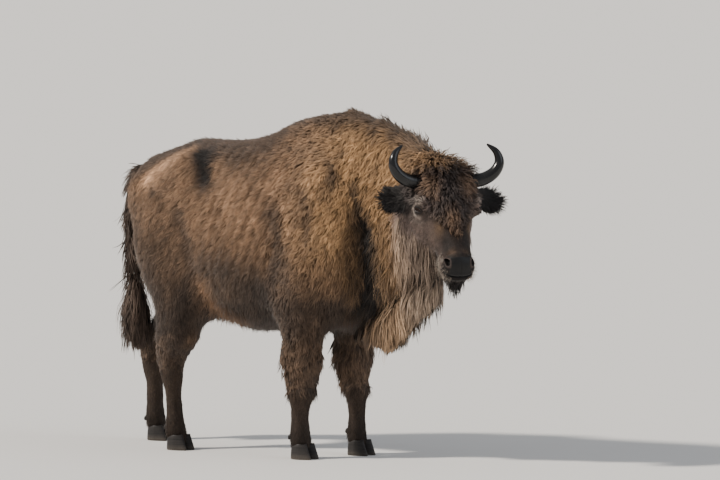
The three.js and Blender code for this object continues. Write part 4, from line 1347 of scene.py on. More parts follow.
class WisentCoat(bpy.types.PropertyGroup):
    spacing: FloatProperty(
        name="Tuft spacing",
        description="Spacing of the tufts, as a share of each zone's own",
        default=1.0,
        min=0.3,
    )
    length: FloatProperty(
        name="Tuft length",
        description="Length of the tufts, as a share of each zone's own",
        default=1.0,
        min=0.1,
    )
    clump: FloatProperty(
        name="Clump size", description="How wide the clumps of the wool are", default=0.026, unit="LENGTH"
    )
    flank: colour_property("Flank", "Brown of the trunk", (0.205, 0.121, 0.069))
    gold: colour_property("Gold", "Golden brown of neck, hump and mane", (0.275, 0.160, 0.075))
    russet: colour_property("Russet", "Reddish fringe of the rear flank", (0.225, 0.124, 0.065))
    # dark and black are also laid on the body as painted shade, in its grooves and hollows and low down
    dark: colour_property("Dark", "Dark brown of legs, belly and grooves", (0.042, 0.029, 0.022))
    black: colour_property("Black", "Near black of ears, tail and muzzle", (0.0070, 0.0055, 0.0052))
    face: colour_property("Face", "Dark brown of the face", (0.026, 0.020, 0.0185))
    mane_tip: colour_property("Mane tips", "Grey brown of the hanging mane", (0.205, 0.152, 0.112))
    cheek: colour_property("Cheek", "Grey brown of the cheeks", (0.150, 0.108, 0.090))
    ring: colour_property("Eye ring", "Pale hair round the eyes", (0.320, 0.262, 0.222))


class WisentBody(bpy.types.PropertyGroup):
    voxel: FloatProperty(name="Skin grid", description="Cell of the skin's first mesh", default=0.013, unit="LENGTH")
    horn_rings: IntProperty(name="Horn rings", description="Growth rings at the root of a horn", default=7, min=0)
    iris: colour_property("Iris", "Brown of the iris", (0.022, 0.010, 0.005))
    horn: colour_property("Horn", "Grey black of the horns", (0.0060, 0.0058, 0.0062))
    hoof: colour_property("Hoof", "Dark horn of the hooves", (0.014, 0.012, 0.0115))


class WisentStage(bpy.types.PropertyGroup):
    floor: colour_property("Floor", "Pale floor", (0.72, 0.71, 0.69))
    key: FloatProperty(name="Key light", description="Strength of the main light", default=5.0, min=0)
    fill: FloatProperty(name="Fill light", description="Strength of the light from all round", default=0.48, min=0)


def coat_colours():
    settings = bpy.context.scene.wisent_coat
    names = ("flank", "gold", "russet", "dark", "black", "face", "cheek", "ring", "mane_tip")
    return {name: tuple(getattr(settings, name)) for name in names}


# ---- Operators ----
def bare_places(h, head):
    """How bare the skin is on nose pad, lips, lids and nostrils, and the pad's own share."""
    pad = pad_share(h) * head
    over, there = mouth_distance(h)
    lips = bell(over, 0, 0.0055) * there * head
    bare = np.maximum(pad, smoothstep(lips, 0.3, 0.7))
    for side in SIDES.values():
        along, high, out, away = eye_position(h, side)
        lid = (1 - smoothstep(-slit_margin(along, high), 0.0030, 0.0050)) * (out > 0) * (away < 0.04) * head
        r, depth, _ = nostril_position(h, side)
        rim = (1 - smoothstep(r, 1.2, 1.5)) * (np.abs(depth) < 0.05) * head
        bare = np.maximum.reduce([bare, lid, rim])
    return bare, pad


def hide_colours(colour, h, zone, head, bare, spread):
    """The skin's own colours under the hair with a painted highlight on the nostrils' rims, and how far inside the
    nostrils it lies.
    """
    short = in_zones(zone, "face", "muzzle", "jaw", "foreleg_lower", "hindleg_lower")
    under = spread.smooth(np.where(short, 0.85, 0.50), 6)
    hide = mix(colour * under[:, None], np.array(LEATHER), bare[:, None])
    inside = np.zeros(len(h))
    for side in SIDES.values():
        r, depth, _ = nostril_position(h, side)
        inside = np.maximum(inside, (1 - smoothstep(r, 0.6, 1.0)) * (np.abs(depth) < 0.05))
        # painted highlight on the rim round each nostril
        rim = 0.75 * bell(r, 1.28, 0.20) * (np.abs(depth) < 0.03) * head
        hide = mix(hide, np.array(NOSTRIL_RIM_HIGHLIGHT), rim[:, None])
    return mix(hide, np.array(NOSTRIL_INSIDE), inside[:, None]), inside


class WISENT_OT_skin(bpy.types.Operator):
    """Make the one skin that stands for all nodes of flesh"""

    bl_idname = "wisent.skin"
    bl_label = "Skin"

    def execute(self, context):
        build_skin_arrays(context.scene.wisent_body.voxel)
        points, h, zone, spread = made["points"], made["head"], made["zone"], made["spread"]
        head = smoothstep(made["head_share"], 0.3, 0.6)
        bare, pad = bare_places(h, head)
        colour = spread.smooth(coat_colour_and_painted_light(points, made["normals"], h, zone, coat_colours()), 3)
        made.update(bare=bare, pad=pad, colour=colour)
        made["lie"] = lie_of_coat()
        hide, inside = hide_colours(colour, h, zone, head, bare, spread)
        mesh = mesh_from_arrays("skin", points, made["triangles"])
        colour_attribute(mesh, "hide", hide)
        point_attribute(mesh, "bare", bare)
        point_attribute(mesh, "pad", pad * (1 - inside))
        along = dot(points, made["lie"])[:, None]
        point_attribute(mesh, "grain", points - 0.85 * along * made["lie"])
        add_piece("skin", mesh, skin_material(), "coat", FLESH)
        return {"FINISHED"}


def material_named(kind):
    """The coat's three finishes, each made once."""
    finish = {"wool": (0.80, 0.14, 0.26), "long_hair": (0.58, 0.05, 0.30), "short_hair": (0.60, 0.04, 0.22)}
    name = f"wisent_{kind}"
    if name not in bpy.data.materials:
        coat_material(name, *finish[kind])
    return bpy.data.materials[name]


def slot_of(zone_names):
    dark = ("leg", "tail", "forehead", "face", "cheek", "ear")
    return "dark_coat" if any(word in name for word in dark for name in zone_names) else "coat"


def add_coat(name, roots, rings, kind, slot, rng, replaces=()):
    add_piece(name, coat_mesh(name, roots, rings, rng), material_named(kind), slot, replaces)


class WISENT_OT_coat(bpy.types.Operator):
    """Cover the skin with tufts, zone by zone"""

    bl_idname = "wisent.coat"
    bl_label = "Coat"

    def execute(self, context):
        settings = context.scene.wisent_coat
        coat = made["coat"] * (1, settings.length, 1, 1, settings.spacing)
        for number, (piece, plan) in enumerate(COAT_PIECES.items()):
            zone_names, unwrap, halves, clump, strength, curl, kind = plan
            for side_name, side in (SIDES if halves else {"": 0}).items():
                rng = np.random.default_rng(SEED + 10 * number + side)
                triangles = skin_triangles(zone_names, side)
                args = (made["points"], triangles, made["normals"], made["lie"], coat, made["colour"], rng)
                roots = surface_roots(*args)
                roots = kept_roots(roots, made["bare"][roots["corner"]].max(axis=1) < 0.30)
                roots["curl"] = np.full(len(roots["at"]), curl)
                if piece == "coat_forehead":
                    roots["turns"] = rng.uniform(0.8, 1.6, len(roots["at"]))
                roots["unwrap"] = unwrap_places(roots["at"], unwrap, zone_names)
                clumped(roots, settings.clump * clump, strength, rng)
                rings = max(ZONES[m][RINGS] for m in zone_names)
                name = f"{piece}_{side_name}" if side_name else piece
                add_coat(name, roots, rings, kind, slot_of(zone_names), rng)
        return {"FINISHED"}


def hair_core(name):
    """A smooth closed core inside a CAD solid of hanging hair: points, triangles, normals."""
    voxel, inset, evening = CORES[name]
    points, triangles, spread = bm_arrays(remeshed([name], voxel))
    points = spread.smooth(points, evening)
    n = unit(spread.smooth(vertex_normals(points, triangles), 3))
    points = spread.smooth(points - n * inset, 2)
    return points, triangles, vertex_normals(points, triangles)


def add_core(name, core, colour, slot):
    """The dense hair under hanging locks, in the hide's finish."""
    points, triangles, _ = core
    mesh = mesh_from_arrays(name, points, triangles)
    colour_attribute(mesh, "hide", np.tile(np.array(colour), (len(points), 1)))
    point_attribute(mesh, "bare", np.zeros(len(points)))
    point_attribute(mesh, "pad", np.zeros(len(points)))
    point_attribute(mesh, "grain", points * (1, 1, 0.15))
    add_piece(name, mesh, bpy.data.materials["wisent_hide"], slot, [name])


def lowest_at(points, x, cells=16):
    """The lowest height of a cloud of points near each x."""
    edges = np.linspace(points[:, 0].min(), points[:, 0].max(), cells + 1)
    middle = 0.5 * (edges[1:] + edges[:-1])
    low = [points[(points[:, 0] >= a) & (points[:, 0] <= b), 2].min() for a, b in zip(edges[:-1], edges[1:])]
    return np.interp(x, middle, low)


def hanging_roots(name, core, colour, rng):
    """Roots of long locks that hang down over a surface."""
    spacing, width, lift = LOCKS[name][:3]
    points, triangles, n = core
    down = np.array((-0.06, 0, -1.0))
    lie = unit(down - n * (n @ down)[:, None] + 1e-4)
    coat = np.tile((0, 0.1, width, lift, spacing), (len(points), 1))
    roots = surface_roots(points, triangles, n, lie, coat, colour, rng)
    count = len(roots["at"])
    roots["fall"] = np.array((0, 0, -1.3))
    roots["settle"] = roots["lift"] * 0.2
    roots["bend"] = rng.normal(0, 0.10, count)
    roots["turns"] = rng.uniform(0.8, 1.8, count)
    roots["curl"] = np.full(count, 0.26)
    roots["root_shade"] = 0.70
    roots["clump_tint"] = 0.24
    return roots


def add_locks(name, roots, kind, slot, rng, replaces=()):
    """Clumps hanging locks and adds them as a piece."""
    clump, strength, rings = LOCKS[name][3:]
    roots["unwrap"] = unwrap_places(roots["at"], kind, ())
    clumped(roots, clump, strength, rng)
    add_coat(name, roots, rings, "long_hair", slot, rng, replaces)


def ragged(rng, count, middle, spread, most):
    """Uneven shares of a length, for locks that end at different heights."""
    return np.clip(rng.normal(middle, spread, count), 0.4, most)


class WISENT_OT_mane(bpy.types.Operator):
    """Hang the throat mane, the beard and the tail's tuft"""

    bl_idname = "wisent.mane"
    bl_label = "Mane, beard and tail tuft"

    def execute(self, context):
        settings = context.scene.wisent_coat
        self.throat(settings)
        self.throat_top(settings)
        self.beard(settings)
        self.tail(settings)
        return {"FINISHED"}

    def throat(self, settings):
        rng = np.random.default_rng(SEED + 301)
        core = hair_core("throat_mane")
        points = core[0]
        add_core("throat_mane", core, np.array(settings.mane_tip) * 0.4, "mane")
        roots = hanging_roots("throat_mane_locks", core, 1.25 * self.throat_colour(points, settings), rng)
        at = roots["at"]
        room = at[:, 2] - lowest_at(points, at[:, 0]) + 0.020
        roots["length"] = np.clip(room, 0.04, 0.17) * ragged(rng, len(at), 0.85, 0.20, 1.2)
        add_locks("throat_mane_locks", roots, "body", "mane", rng)

    def throat_colour(self, points, settings):
        """Golden behind, grey brown under the jaw, painted shade at the back between the forelegs and painted light
        on the upper rear, in upright streaks.
        """
        x, z = points[:, 0], points[:, 2]
        tip, gold, dark = (np.array(c) for c in (settings.mane_tip, settings.gold, settings.dark))
        colour = mix(0.45 * (gold + tip), tip, smoothstep(x, 0.58, 0.76)[:, None])
        # painted shade at the back of the mane, between the forelegs
        colour = mix(colour, dark, (0.8 * smoothstep(-x, -0.56, -0.42))[:, None])
        streaks = 1.04 + 0.45 * noise(points * (1, 1, 0.15), 0.028, 31)
        lit = 1 + 0.45 * smoothstep(z, 0.84, 0.92) * smoothstep(-x, -0.80, -0.72)
        return colour * (streaks * lit)[:, None]

    def throat_top(self, settings):
        """Locks that join cheek, jaw and neck to the hanging mane."""
        rng = np.random.default_rng(SEED + 304)
        points, triangles, n, h = made["points"], made["triangles"], made["normals"], made["head"]
        c, ch = points[triangles].mean(axis=1), h[triangles].mean(axis=1)
        zone = made["zone"][triangles[:, 0]]
        jaw = in_zones(zone, "cheek", "jaw") & (ch[:, 0] > 0.13) & (ch[:, 0] < 0.405)
        jaw &= (ch[:, 2] < -0.175) | ((n[triangles[:, 0], 2] < -0.25) & (ch[:, 2] < -0.14))
        low_neck = in_zones(zone, "neck") & (c[:, 2] < 1.04) & (c[:, 0] > 0.54)
        colour = mix(made["colour"], self.throat_colour(points, settings), 0.6)
        roots = hanging_roots("throat_locks", (points, triangles[jaw | low_neck], n), colour, rng)
        at = roots["at"]
        on_head = made["head_share"][roots["corner"][:, 0]] > 0.5
        under_jaw = mix(0.09, 0.15, smoothstep(to_head(at)[:, 0], 0.15, 0.30))
        under_neck = mix(0.075, 0.150, smoothstep(-at[:, 2], -1.04, -0.84))
        roots["length"] = np.where(on_head, under_jaw, under_neck) * ragged(rng, len(at), 0.9, 0.2, 1.3)
        add_locks("throat_locks", roots, "body", "mane", rng)

    def beard(self, settings):
        rng = np.random.default_rng(SEED + 302)
        h = made["head"]
        triangles = skin_triangles(("jaw", "cheek", "muzzle"), 0)
        c = h[triangles].mean(axis=1)
        chin = (c[:, 0] > 0.395) & (c[:, 0] < 0.530) & (np.abs(c[:, 1]) < 0.056)
        chin &= mouth_distance(c)[0] < -0.036
        colour = np.tile(np.array(settings.black) * 2.5, (len(h), 1))
        behind = 0.6 * smoothstep(-h[:, 0], -0.45, -0.40)
        colour = mix(colour, np.array(settings.cheek) * 0.7, behind[:, None])
        roots = hanging_roots("beard_locks", (made["points"], triangles[chin], made["normals"]), colour, rng)
        h = to_head(roots["at"])
        middle = bell(h[:, 0], 0.465, 0.050) * bell(h[:, 1], 0, 0.036)
        roots["length"] = (0.040 + 0.075 * middle) * rng.uniform(0.45, 1.05, len(h))
        roots["length"] *= np.where(rng.random(len(h)) < 0.10, 1.5, 1.0)
        roots["tip_light"] = 0.5
        add_locks("beard_locks", roots, "head", "mane", rng, ["beard"])

    def tail(self, settings):
        rng = np.random.default_rng(SEED + 303)
        points, triangles, n = hair_core("tail_tuft")
        fuller = smoothstep(points[:, 2].max() - points[:, 2], 0.03, 0.22)
        points = points + n * (0.016 * fuller)[:, None]
        core = (points, triangles, n)
        dark = np.array(settings.dark)
        add_core("tail_tuft", core, dark * 0.5, "dark_coat")
        colour = dark * (1.5 + 0.7 * noise(points * (1, 1, 0.15), 0.03, 32))[:, None]
        roots = hanging_roots("tail_tuft_locks", core, colour, rng)
        room = roots["at"][:, 2] - points[:, 2].min() + 0.02
        roots["length"] = np.clip(room, 0.03, 0.17) * ragged(rng, len(room), 0.85, 0.18, 1.1)
        add_locks("tail_tuft_locks", roots, "body", "dark_coat", rng)


def eyeball_material(settings):
    """A dark brown iris with a level pupil, under a wet surface."""
    material, tree, shader = new_material("wisent_eye")
    gaze = node(tree, "ShaderNodeUVMap", {"uv_map": "Gaze"}).outputs["UV"]

    def ellipse(wide, tall, soft):
        place = scaled_vector(tree, gaze, (1 / wide, 1 / tall, 1.0))
        size = node(tree, "ShaderNodeVectorMath", {"operation": "LENGTH"}, {0: place})
        return ranged(tree, size.outputs["Value"], 1.0, 0.0, 1 - soft, 1 + soft)

    iris = 0.66
    rays = noise_of(tree, scaled_vector(tree, gaze, (7.0 / iris, 7.0 / iris, 1.0)), 3.0, 4.0)
    brown = colour_times(tree, plain_colour(tree, settings.iris), ranged(tree, rays, 0.5, 1.6, 0.3, 0.7))
    colour = mixed(tree, "RGBA", ellipse(iris, iris, 0.06), (*WHITE_OF_EYE, 1), brown)
    colour = mixed(tree, "RGBA", ellipse(0.33, 0.13, 0.10), colour, (*PUPIL, 1))
    link(tree, colour, shader.inputs["Base Color"])
    shader.inputs["Roughness"].default_value = 0.10
    shader.inputs["Specular IOR Level"].default_value = 0.10
    shader.inputs["Coat Weight"].default_value = 0.22
    shader.inputs["Coat Roughness"].default_value = 0.02
    return material


def eyeball_mesh(name, side):
    """A ball with a raised cornea, its pole looking out of the head."""
    out, ahead, up = eye_axes(side)
    middle = EYE_AT * (1, side, 1)
    count, sides = 40, 56
    polar, ball = ball_places(count, sides)
    radius = EYE_RADIUS - 0.0003 + 0.0012 * (1 - smoothstep(polar, 0.35, 0.75))
    body = (ball @ np.array((ahead, up * side, out))) * radius[:, None, None]
    front, rear = out * (EYE_RADIUS + 0.0009), -out * EYE_RADIUS
    points = from_head(np.vstack([front, body.reshape(-1, 3), rear]) + middle)
    faces = ball_faces(count, sides)
    faces = facing_out(points, faces, len(faces) // 2, from_head(middle))
    mesh = mesh_from_arrays(name, points, faces)
    hidden = (2, 2)
    gaze = np.vstack([(0, 0), ball[..., :2].reshape(-1, 2) * EYE_RADIUS / 0.0235, hidden])
    gaze[1:-1][ball[..., 2].ravel() < 0] = hidden
    uv_map(mesh, "Gaze", gaze)
    return mesh


def lid_rim_mesh(name, side):
    """The thick wet edge of both lids: a closed tube round the slit, wider at the inner corner."""
    out, ahead, up = eye_axes(side)
    middle = EYE_AT * (1, side, 1)
    steps, sides = 72, 10
    turn = np.linspace(0, 2 * math.pi, steps, endpoint=False)
    angle = np.linspace(0, 2 * math.pi, sides, endpoint=False)
    share = np.cos(turn)
    upper = np.sin(turn) > 0
    inner = smoothstep(share, 0.80, 1.0)
    along = share * SLIT_HALF * 1.02 + 0.0035 * inner
    high = np.where(upper, *lid_lines(share)) - 0.0015 * inner
    level = np.sqrt(np.maximum((LID_RADIUS - 0.0012) ** 2 - along**2 - high**2, 1e-6))
    line = along[:, None] * ahead + high[:, None] * up + level[:, None] * out
    tangent = unit(np.roll(line, -1, 0) - np.roll(line, 1, 0))
    outward = unit(line - tangent * dot(line, tangent)[:, None])
    aside = np.cross(tangent, outward)
    thick = 0.0017 + 0.0006 * upper - 0.0003 * inner
    ring = outward[:, None] * np.cos(angle)[:, None] + 1.15 * aside[:, None] * np.sin(angle)[:, None]
    points = from_head((line[:, None] + ring * thick[:, None, None]).reshape(-1, 3) + middle)
    at = lambda i, j: (i % steps) * sides + j % sides
    faces = []
    for i, j in product(range(steps), range(sides)):
        faces += [(at(i, j), at(i + 1, j), at(i + 1, j + 1)), (at(i, j), at(i + 1, j + 1), at(i, j + 1))]
    return mesh_from_arrays(name, points, facing_out(points, np.array(faces), 0, from_head(line[0] + middle)))


def plain_material(name, colour, roughness, clear=0.0):
    """A dark moist or horny surface with fine mottling and pores."""
    material, tree, shader = new_material(name)
    mottle = noise_of(tree, object_place(tree), 180.0, 4.0)
    shade = ranged(tree, mottle, 0.6, 1.5, 0.3, 0.7)
    link(tree, colour_times(tree, plain_colour(tree, colour), shade), shader.inputs["Base Color"])
    link(tree, bump(tree, mottle, 0.25, 0.0006), shader.inputs["Normal"])
    shader.inputs["Roughness"].default_value = roughness
    shader.inputs["Coat Weight"].default_value = clear
    shader.inputs["Coat Roughness"].default_value = 0.1
    return material


class WISENT_OT_eyes(bpy.types.Operator):
    """Make the eyeballs and the wet edges of the lids"""

    bl_idname = "wisent.eyes"
    bl_label = "Eyes"

    def execute(self, context):
        eye = eyeball_material(context.scene.wisent_body)
        rim = plain_material("wisent_lid", LID_EDGE, 0.28, 0.4)
        for name, side in SIDES.items():
            add_piece(f"eyeball_{name}", eyeball_mesh(f"eyeball_{name}", side), eye, "eye", [f"eye_{name}"])
            add_piece(f"lid_edge_{name}", lid_rim_mesh(f"lid_edge_{name}", side), rim, "dark_coat")
        return {"FINISHED"}


# ---- Geometry Nodes: horns and bristles ----
def new_tree(name, inputs):
    """A geometry tree with named inputs and one geometry output."""
    tree = bpy.data.node_groups.new(name, "GeometryNodeTree")
    face = tree.interface
    face.new_socket(name="Geometry", in_out="INPUT", socket_type="NodeSocketGeometry")
    for label, kind, value in inputs:
        socket = face.new_socket(name=label, in_out="INPUT", socket_type=kind)
        if value is not None:
            socket.default_value = value
    face.new_socket(name="Geometry", in_out="OUTPUT", socket_type="NodeSocketGeometry")
    return tree, tree.nodes.new("NodeGroupInput"), tree.nodes.new("NodeGroupOutput")


def run_tree(tree, source, values, name):
    """Applies a geometry tree to an object and returns the result as a plain mesh."""
    modifier = source.modifiers.new("nodes", "NODES")
    modifier.node_group = tree
    for item in tree.interface.items_tree:
        if item.in_out == "INPUT" and item.name in values:
            modifier[item.identifier] = values[item.name]
    depsgraph = bpy.context.evaluated_depsgraph_get()
    mesh = bpy.data.meshes.new_from_object(source.evaluated_get(depsgraph))
    source.modifiers.remove(modifier)
    bpy.data.objects.remove(source)
    mesh.name = name
    return mesh


def calculated(tree, operation, *values):
    """The result of a sum on links or plain values."""
    return node(tree, "ShaderNodeMath", {"operation": operation}, dict(enumerate(values))).outputs[0]


def geometry(tree, kind, settings=None, **inputs):
    """A geometry node whose inputs are named with _ for a space."""
    named = {key.replace("_", " "): value for key, value in inputs.items()}
    return node(tree, f"GeometryNode{kind}", settings, named)


def horn_tree():
    """A tapered horn swept along a curve, with growth rings that fade from the root."""
    inputs = [
        ("Root Radius", "NodeSocketFloat", 0.03),
        ("Rings", "NodeSocketFloat", 7.0),
        ("Ring Height", "NodeSocketFloat", 0.0012),
        ("Material", "NodeSocketMaterial", None),
    ]
    tree, given, result = new_tree("horn", inputs)
    root, rings, height, material = (given.outputs[label] for label, _, _ in inputs)
    even = geometry(tree, "ResampleCurve", Curve=given.outputs["Geometry"], Count=150)
    factor = geometry(tree, "SplineParameter").outputs["Factor"]
    profile = node(tree, "ShaderNodeFloatCurve", None, {"Value": factor})
    curve = profile.mapping.curves[0]
    shape = [(i / (len(HORN_RADII) - 1), r / max(HORN_RADII)) for i, r in enumerate(HORN_RADII)]
    curve.points[0].location = shape[0]
    curve.points[1].location = shape[-1]
    for place in shape[1:-1]:
        curve.points.new(*place)
    profile.mapping.update()
    size = calculated(tree, "MULTIPLY", profile.outputs["Value"], root)
    turns = calculated(tree, "MULTIPLY", rings, 18.0)
    wave = calculated(tree, "SINE", calculated(tree, "MULTIPLY", factor, turns))
    run = calculated(tree, "MINIMUM", calculated(tree, "MULTIPLY", factor, 2.2), 1.0)
    fade = calculated(tree, "POWER", calculated(tree, "SUBTRACT", 1.0, run), 1.3)
    ridge = calculated(tree, "MULTIPLY", calculated(tree, "MULTIPLY", wave, fade), height)
    thick = calculated(tree, "ADD", size, ridge)
    radius = geometry(tree, "SetCurveRadius", Curve=even.outputs["Curve"], Radius=thick)
    circle = geometry(tree, "CurvePrimitiveCircle", Resolution=40, Radius=1.0)
    path, outline = radius.outputs["Curve"], circle.outputs["Curve"]
    sweep = geometry(tree, "CurveToMesh", Curve=path, Profile_Curve=outline, Fill_Caps=True)
    if "Scale" in sweep.inputs:
        link(tree, geometry(tree, "InputRadius").outputs[0], sweep.inputs["Scale"])
    smooth = geometry(tree, "SetShadeSmooth", Geometry=sweep.outputs["Mesh"])
    finish = geometry(tree, "SetMaterial", Geometry=smooth.outputs["Geometry"], Material=material)
    link(tree, finish.outputs["Geometry"], result.inputs["Geometry"])
    return tree


def horn_material(settings):
    """Grey black horn: matt and scored at the root, polished and darker where it is rubbed."""
    material, tree, shader = new_material("wisent_horn")
    place = object_place(tree)
    cloud = noise_of(tree, place, 22.0, 4.0)
    score = noise_of(tree, place, 260.0)
    polish = attribute(tree, "polish").outputs["Fac"]
    matt = tuple(1.5 * c for c in settings.horn)
    tone = mixed(tree, "RGBA", polish, (*matt, 1), (*settings.horn, 1))
    shade = ranged(tree, cloud, 0.55, 1.5, 0.3, 0.7)
    link(tree, colour_times(tree, tone, shade), shader.inputs["Base Color"])
    link(tree, ranged(tree, polish, 0.50, 0.22), shader.inputs["Roughness"])
    link(tree, bump(tree, score, 0.25, 0.0005), shader.inputs["Normal"])
    shader.inputs["Specular IOR Level"].default_value = 0.32
    shader.inputs["Coat Weight"].default_value = 0.15
    shader.inputs["Coat Roughness"].default_value = 0.12
    return material


class WISENT_OT_horns(bpy.types.Operator):
    """Sweep the two horns"""

    bl_idname = "wisent.horns"
    bl_label = "Horns"

    def execute(self, context):
        settings = context.scene.wisent_body
        tree = horn_tree()
        material = horn_material(settings)
        for name, side in SIDES.items():
            path = from_head(catmull_rom(np.array(HORN_PATH) * (1, side, 1), 90))
            data = bpy.data.curves.new(f"horn_path_{name}", "CURVE")
            data.dimensions = "3D"
            spline = data.splines.new("POLY")
            spline.points.add(len(path) - 1)
            for point, place in zip(spline.points, path):
                point.co = (*place, 1)
            source = bpy.data.objects.new(data.name, data)
            context.scene.collection.objects.link(source)
            values = {
                "Root Radius": max(HORN_RADII),
                "Rings": float(settings.horn_rings),
                "Ring Height": 0.0012,
                "Material": material,
            }
            mesh = run_tree(tree, source, values, f"horn_shape_{name}")
            places = np.array([v.co[:] for v in mesh.vertices])
            stops = path[::3]
            gap = np.linalg.norm(places[:, None] - stops, axis=2).argmin(axis=1) / (len(stops) - 1)
            point_attribute(mesh, "polish", smoothstep(gap, 0.15, 0.55))
            add_piece(f"horn_shape_{name}", mesh, material, "horn", [f"horn_{name}"])
        return {"FINISHED"}


def bristle_tree():
    """A tapered bristle on every point, turned to the point's aim and as long as its reach."""
    inputs = [("Thickness", "NodeSocketFloat", 0.0004), ("Material", "NodeSocketMaterial", None)]
    tree, given, result = new_tree("bristles", inputs)

    def named(name, kind):
        return geometry(tree, "InputNamedAttribute", {"data_type": kind}, Name=name).outputs["Attribute"]

    thick = given.outputs["Thickness"]
    sizes = {"Radius_Top": 0.0, "Radius_Bottom": thick, "Depth": 1.0}
    cone = geometry(tree, "MeshCone", Vertices=4, Side_Segments=4, **sizes)
    to_points = geometry(tree, "MeshToPoints", Mesh=given.outputs["Geometry"])
    aim = named("aim", "FLOAT_VECTOR")
    turn = node(tree, "FunctionNodeAlignRotationToVector", {"axis": "Z"}, {"Vector": aim})
    size = node(tree, "ShaderNodeCombineXYZ", None, {"X": 1.0, "Y": 1.0, "Z": named("reach", "FLOAT")})
    copies = geometry(
        tree,
        "InstanceOnPoints",
        Points=to_points.outputs["Points"],
        Instance=cone.outputs["Mesh"],
        Rotation=turn.outputs["Rotation"],
        Scale=size.outputs["Vector"],
    )
    real = geometry(tree, "RealizeInstances", Geometry=copies.outputs["Instances"])
    finish = geometry(tree, "SetMaterial", Geometry=real.outputs["Geometry"])
    link(tree, given.outputs["Material"], finish.inputs["Material"])
    link(tree, finish.outputs["Geometry"], result.inputs["Geometry"])
    return tree


def bristles(name, tree, roots, aims, reach, thickness, material):
    """A piece of bristles: one for each root."""
    mesh = bpy.data.meshes.new(name)
    mesh.from_pydata([tuple(p) for p in roots], [], [])
    point_attribute(mesh, "aim", aims)
    point_attribute(mesh, "reach", reach)
    source = bpy.data.objects.new(name, mesh)
    bpy.context.scene.collection.objects.link(source)
    mesh = run_tree(tree, source, {"Thickness": thickness, "Material": material}, name)
    add_piece(name, mesh, material, "dark_coat")


class WISENT_OT_bristles(bpy.types.Operator):
    """Set the lashes and the stiff hairs round the mouth"""

    bl_idname = "wisent.bristles"
    bl_label = "Lashes and whiskers"

    def execute(self, context):
        rng = np.random.default_rng(SEED + 401)
        tree = bristle_tree()
        dark = plain_material("wisent_lash", LASH, 0.45)
        pale = plain_material("wisent_whisker", WHISKER, 0.40)
        for name, side in SIDES.items():
            out, ahead, up = eye_axes(side)
            share = np.linspace(-0.92, 0.80, LASHES) + rng.normal(0, 0.01, LASHES)
            along, high = share * SLIT_HALF, lid_lines(share)[0] + 0.001
            level = np.sqrt(LID_RADIUS**2 - along**2 - high**2)
            roots = along[:, None] * ahead + high[:, None] * up + level[:, None] * out + EYE_AT * (1, side, 1)
            rise = rng.uniform(-0.25, 0.25, LASHES)[:, None]
            aims = unit(out * 0.95 + up * rise + ahead * (0.8 * share)[:, None]) @ HEAD_AXES.T
            reach = rng.uniform(0.011, 0.020, LASHES)
            bristles(f"lashes_{name}", tree, from_head(roots), aims, reach, 0.00042, dark)
        chosen = rng.choice(np.flatnonzero(self.beside_mouth()), WHISKERS, replace=False)
        scatter_way = rng.normal(0, 0.30, (WHISKERS, 3)) + (0, 0, -0.25)
        aims = unit(made["normals"][chosen] + 0.45 * made["lie"][chosen] + scatter_way)
        reach = rng.uniform(0.010, 0.036, WHISKERS)
        bristles("whiskers", tree, made["points"][chosen], aims, reach, 0.00045, pale)
        return {"FINISHED"}

    def beside_mouth(self):
        """Which points of the skin may bear a whisker."""
        h = made["head"]
        over = mouth_distance(h)[0]
        clear = np.min([nostril_position(h, side)[0] for side in SIDES.values()], 0) > 1.4
        near = (np.abs(over) > 0.006) & (over > -0.035) & (over < 0.060)
        muzzle = (h[:, 0] > 0.40) & (h[:, 2] < -0.045) & (np.abs(h[:, 1]) > 0.035)
        return clear & near & muzzle & (made["pad"] < 0.1) & (made["head_share"] > 0.8)


# ---- Hooves ----
def claw_mesh(name, low, high, across):
    """One claw of a hoof in its box: flat sole, curved wall with growth rings, narrow toe and low heel."""
    levels, sides = 22, 56
    length, width, height = high - low
    x, y = low[0] + 0.45 * length, 0.5 * (low[1] + high[1])
    turn = np.linspace(0, 2 * math.pi, sides, endpoint=False)
    ahead, aside = np.cos(turn), np.sin(turn)
    toe = ahead > 0
    narrow = np.where(toe, np.power(1 - ahead * 0.62, 0.45) * (1 - 0.1 * ahead), 1.0)
    narrow = narrow * np.where(aside * across < 0, 1.50, 1.05)  # the cleft's side is the wider one
    rings = []
    for i in range(levels + 1):
        level = i / levels
        run = np.where(toe, length * 0.55 - 0.030 * level, length * 0.45 - 0.004 * level) * ahead
        half = 0.5 * width * narrow * (1 - 0.13 * level - 0.10 * smoothstep(level, 0.90, 1.0))
        ripple = 1 + 0.010 * math.sin(level * 34) * (0.3 + 0.7 * level) - 0.06 * bell(level, 0.0, 0.05)
        drop = np.where(toe, 0, 0.014 * ahead * level) + 0.002 * level * np.sin(3 * turn)
        z = low[2] + level * height + drop * smoothstep(level, 0.4, 1.0)
        rings.append(rows(x + run * ripple, y + half * aside * ripple, z))
    points = np.vstack(rings + [[(x, y, low[2])], [(x - 0.006, y, low[2] + height * 0.98)]])
    at = lambda i, j: i * sides + j % sides
    sole, top = len(points) - 2, len(points) - 1
    faces = []
    for i, j in product(range(levels), range(sides)):
        faces += [(at(i, j), at(i, j + 1), at(i + 1, j + 1)), (at(i, j), at(i + 1, j + 1), at(i + 1, j))]
    faces += [(sole, at(0, j + 1), at(0, j)) for j in range(sides)]
    faces += [(top, at(levels, j), at(levels, j + 1)) for j in range(sides)]
    return mesh_from_arrays(name, points, np.array(faces))


def dewclaw_mesh(name, low, high):
    """A small claw: an egg that leans back in its box."""
    count, sides = 12, 20
    ball = np.vstack([(0, 0, 1), ball_places(count, sides)[1].reshape(-1, 3), (0, 0, -1)])
    ball[:, 0] = 0.8 * ball[:, 0] + 0.35 * ball[:, 2]
    points = 0.5 * (low + high) + ball * 0.5 * (high - low) * (1, 1, 0.95)
    return mesh_from_arrays(name, points, ball_faces(count, sides))


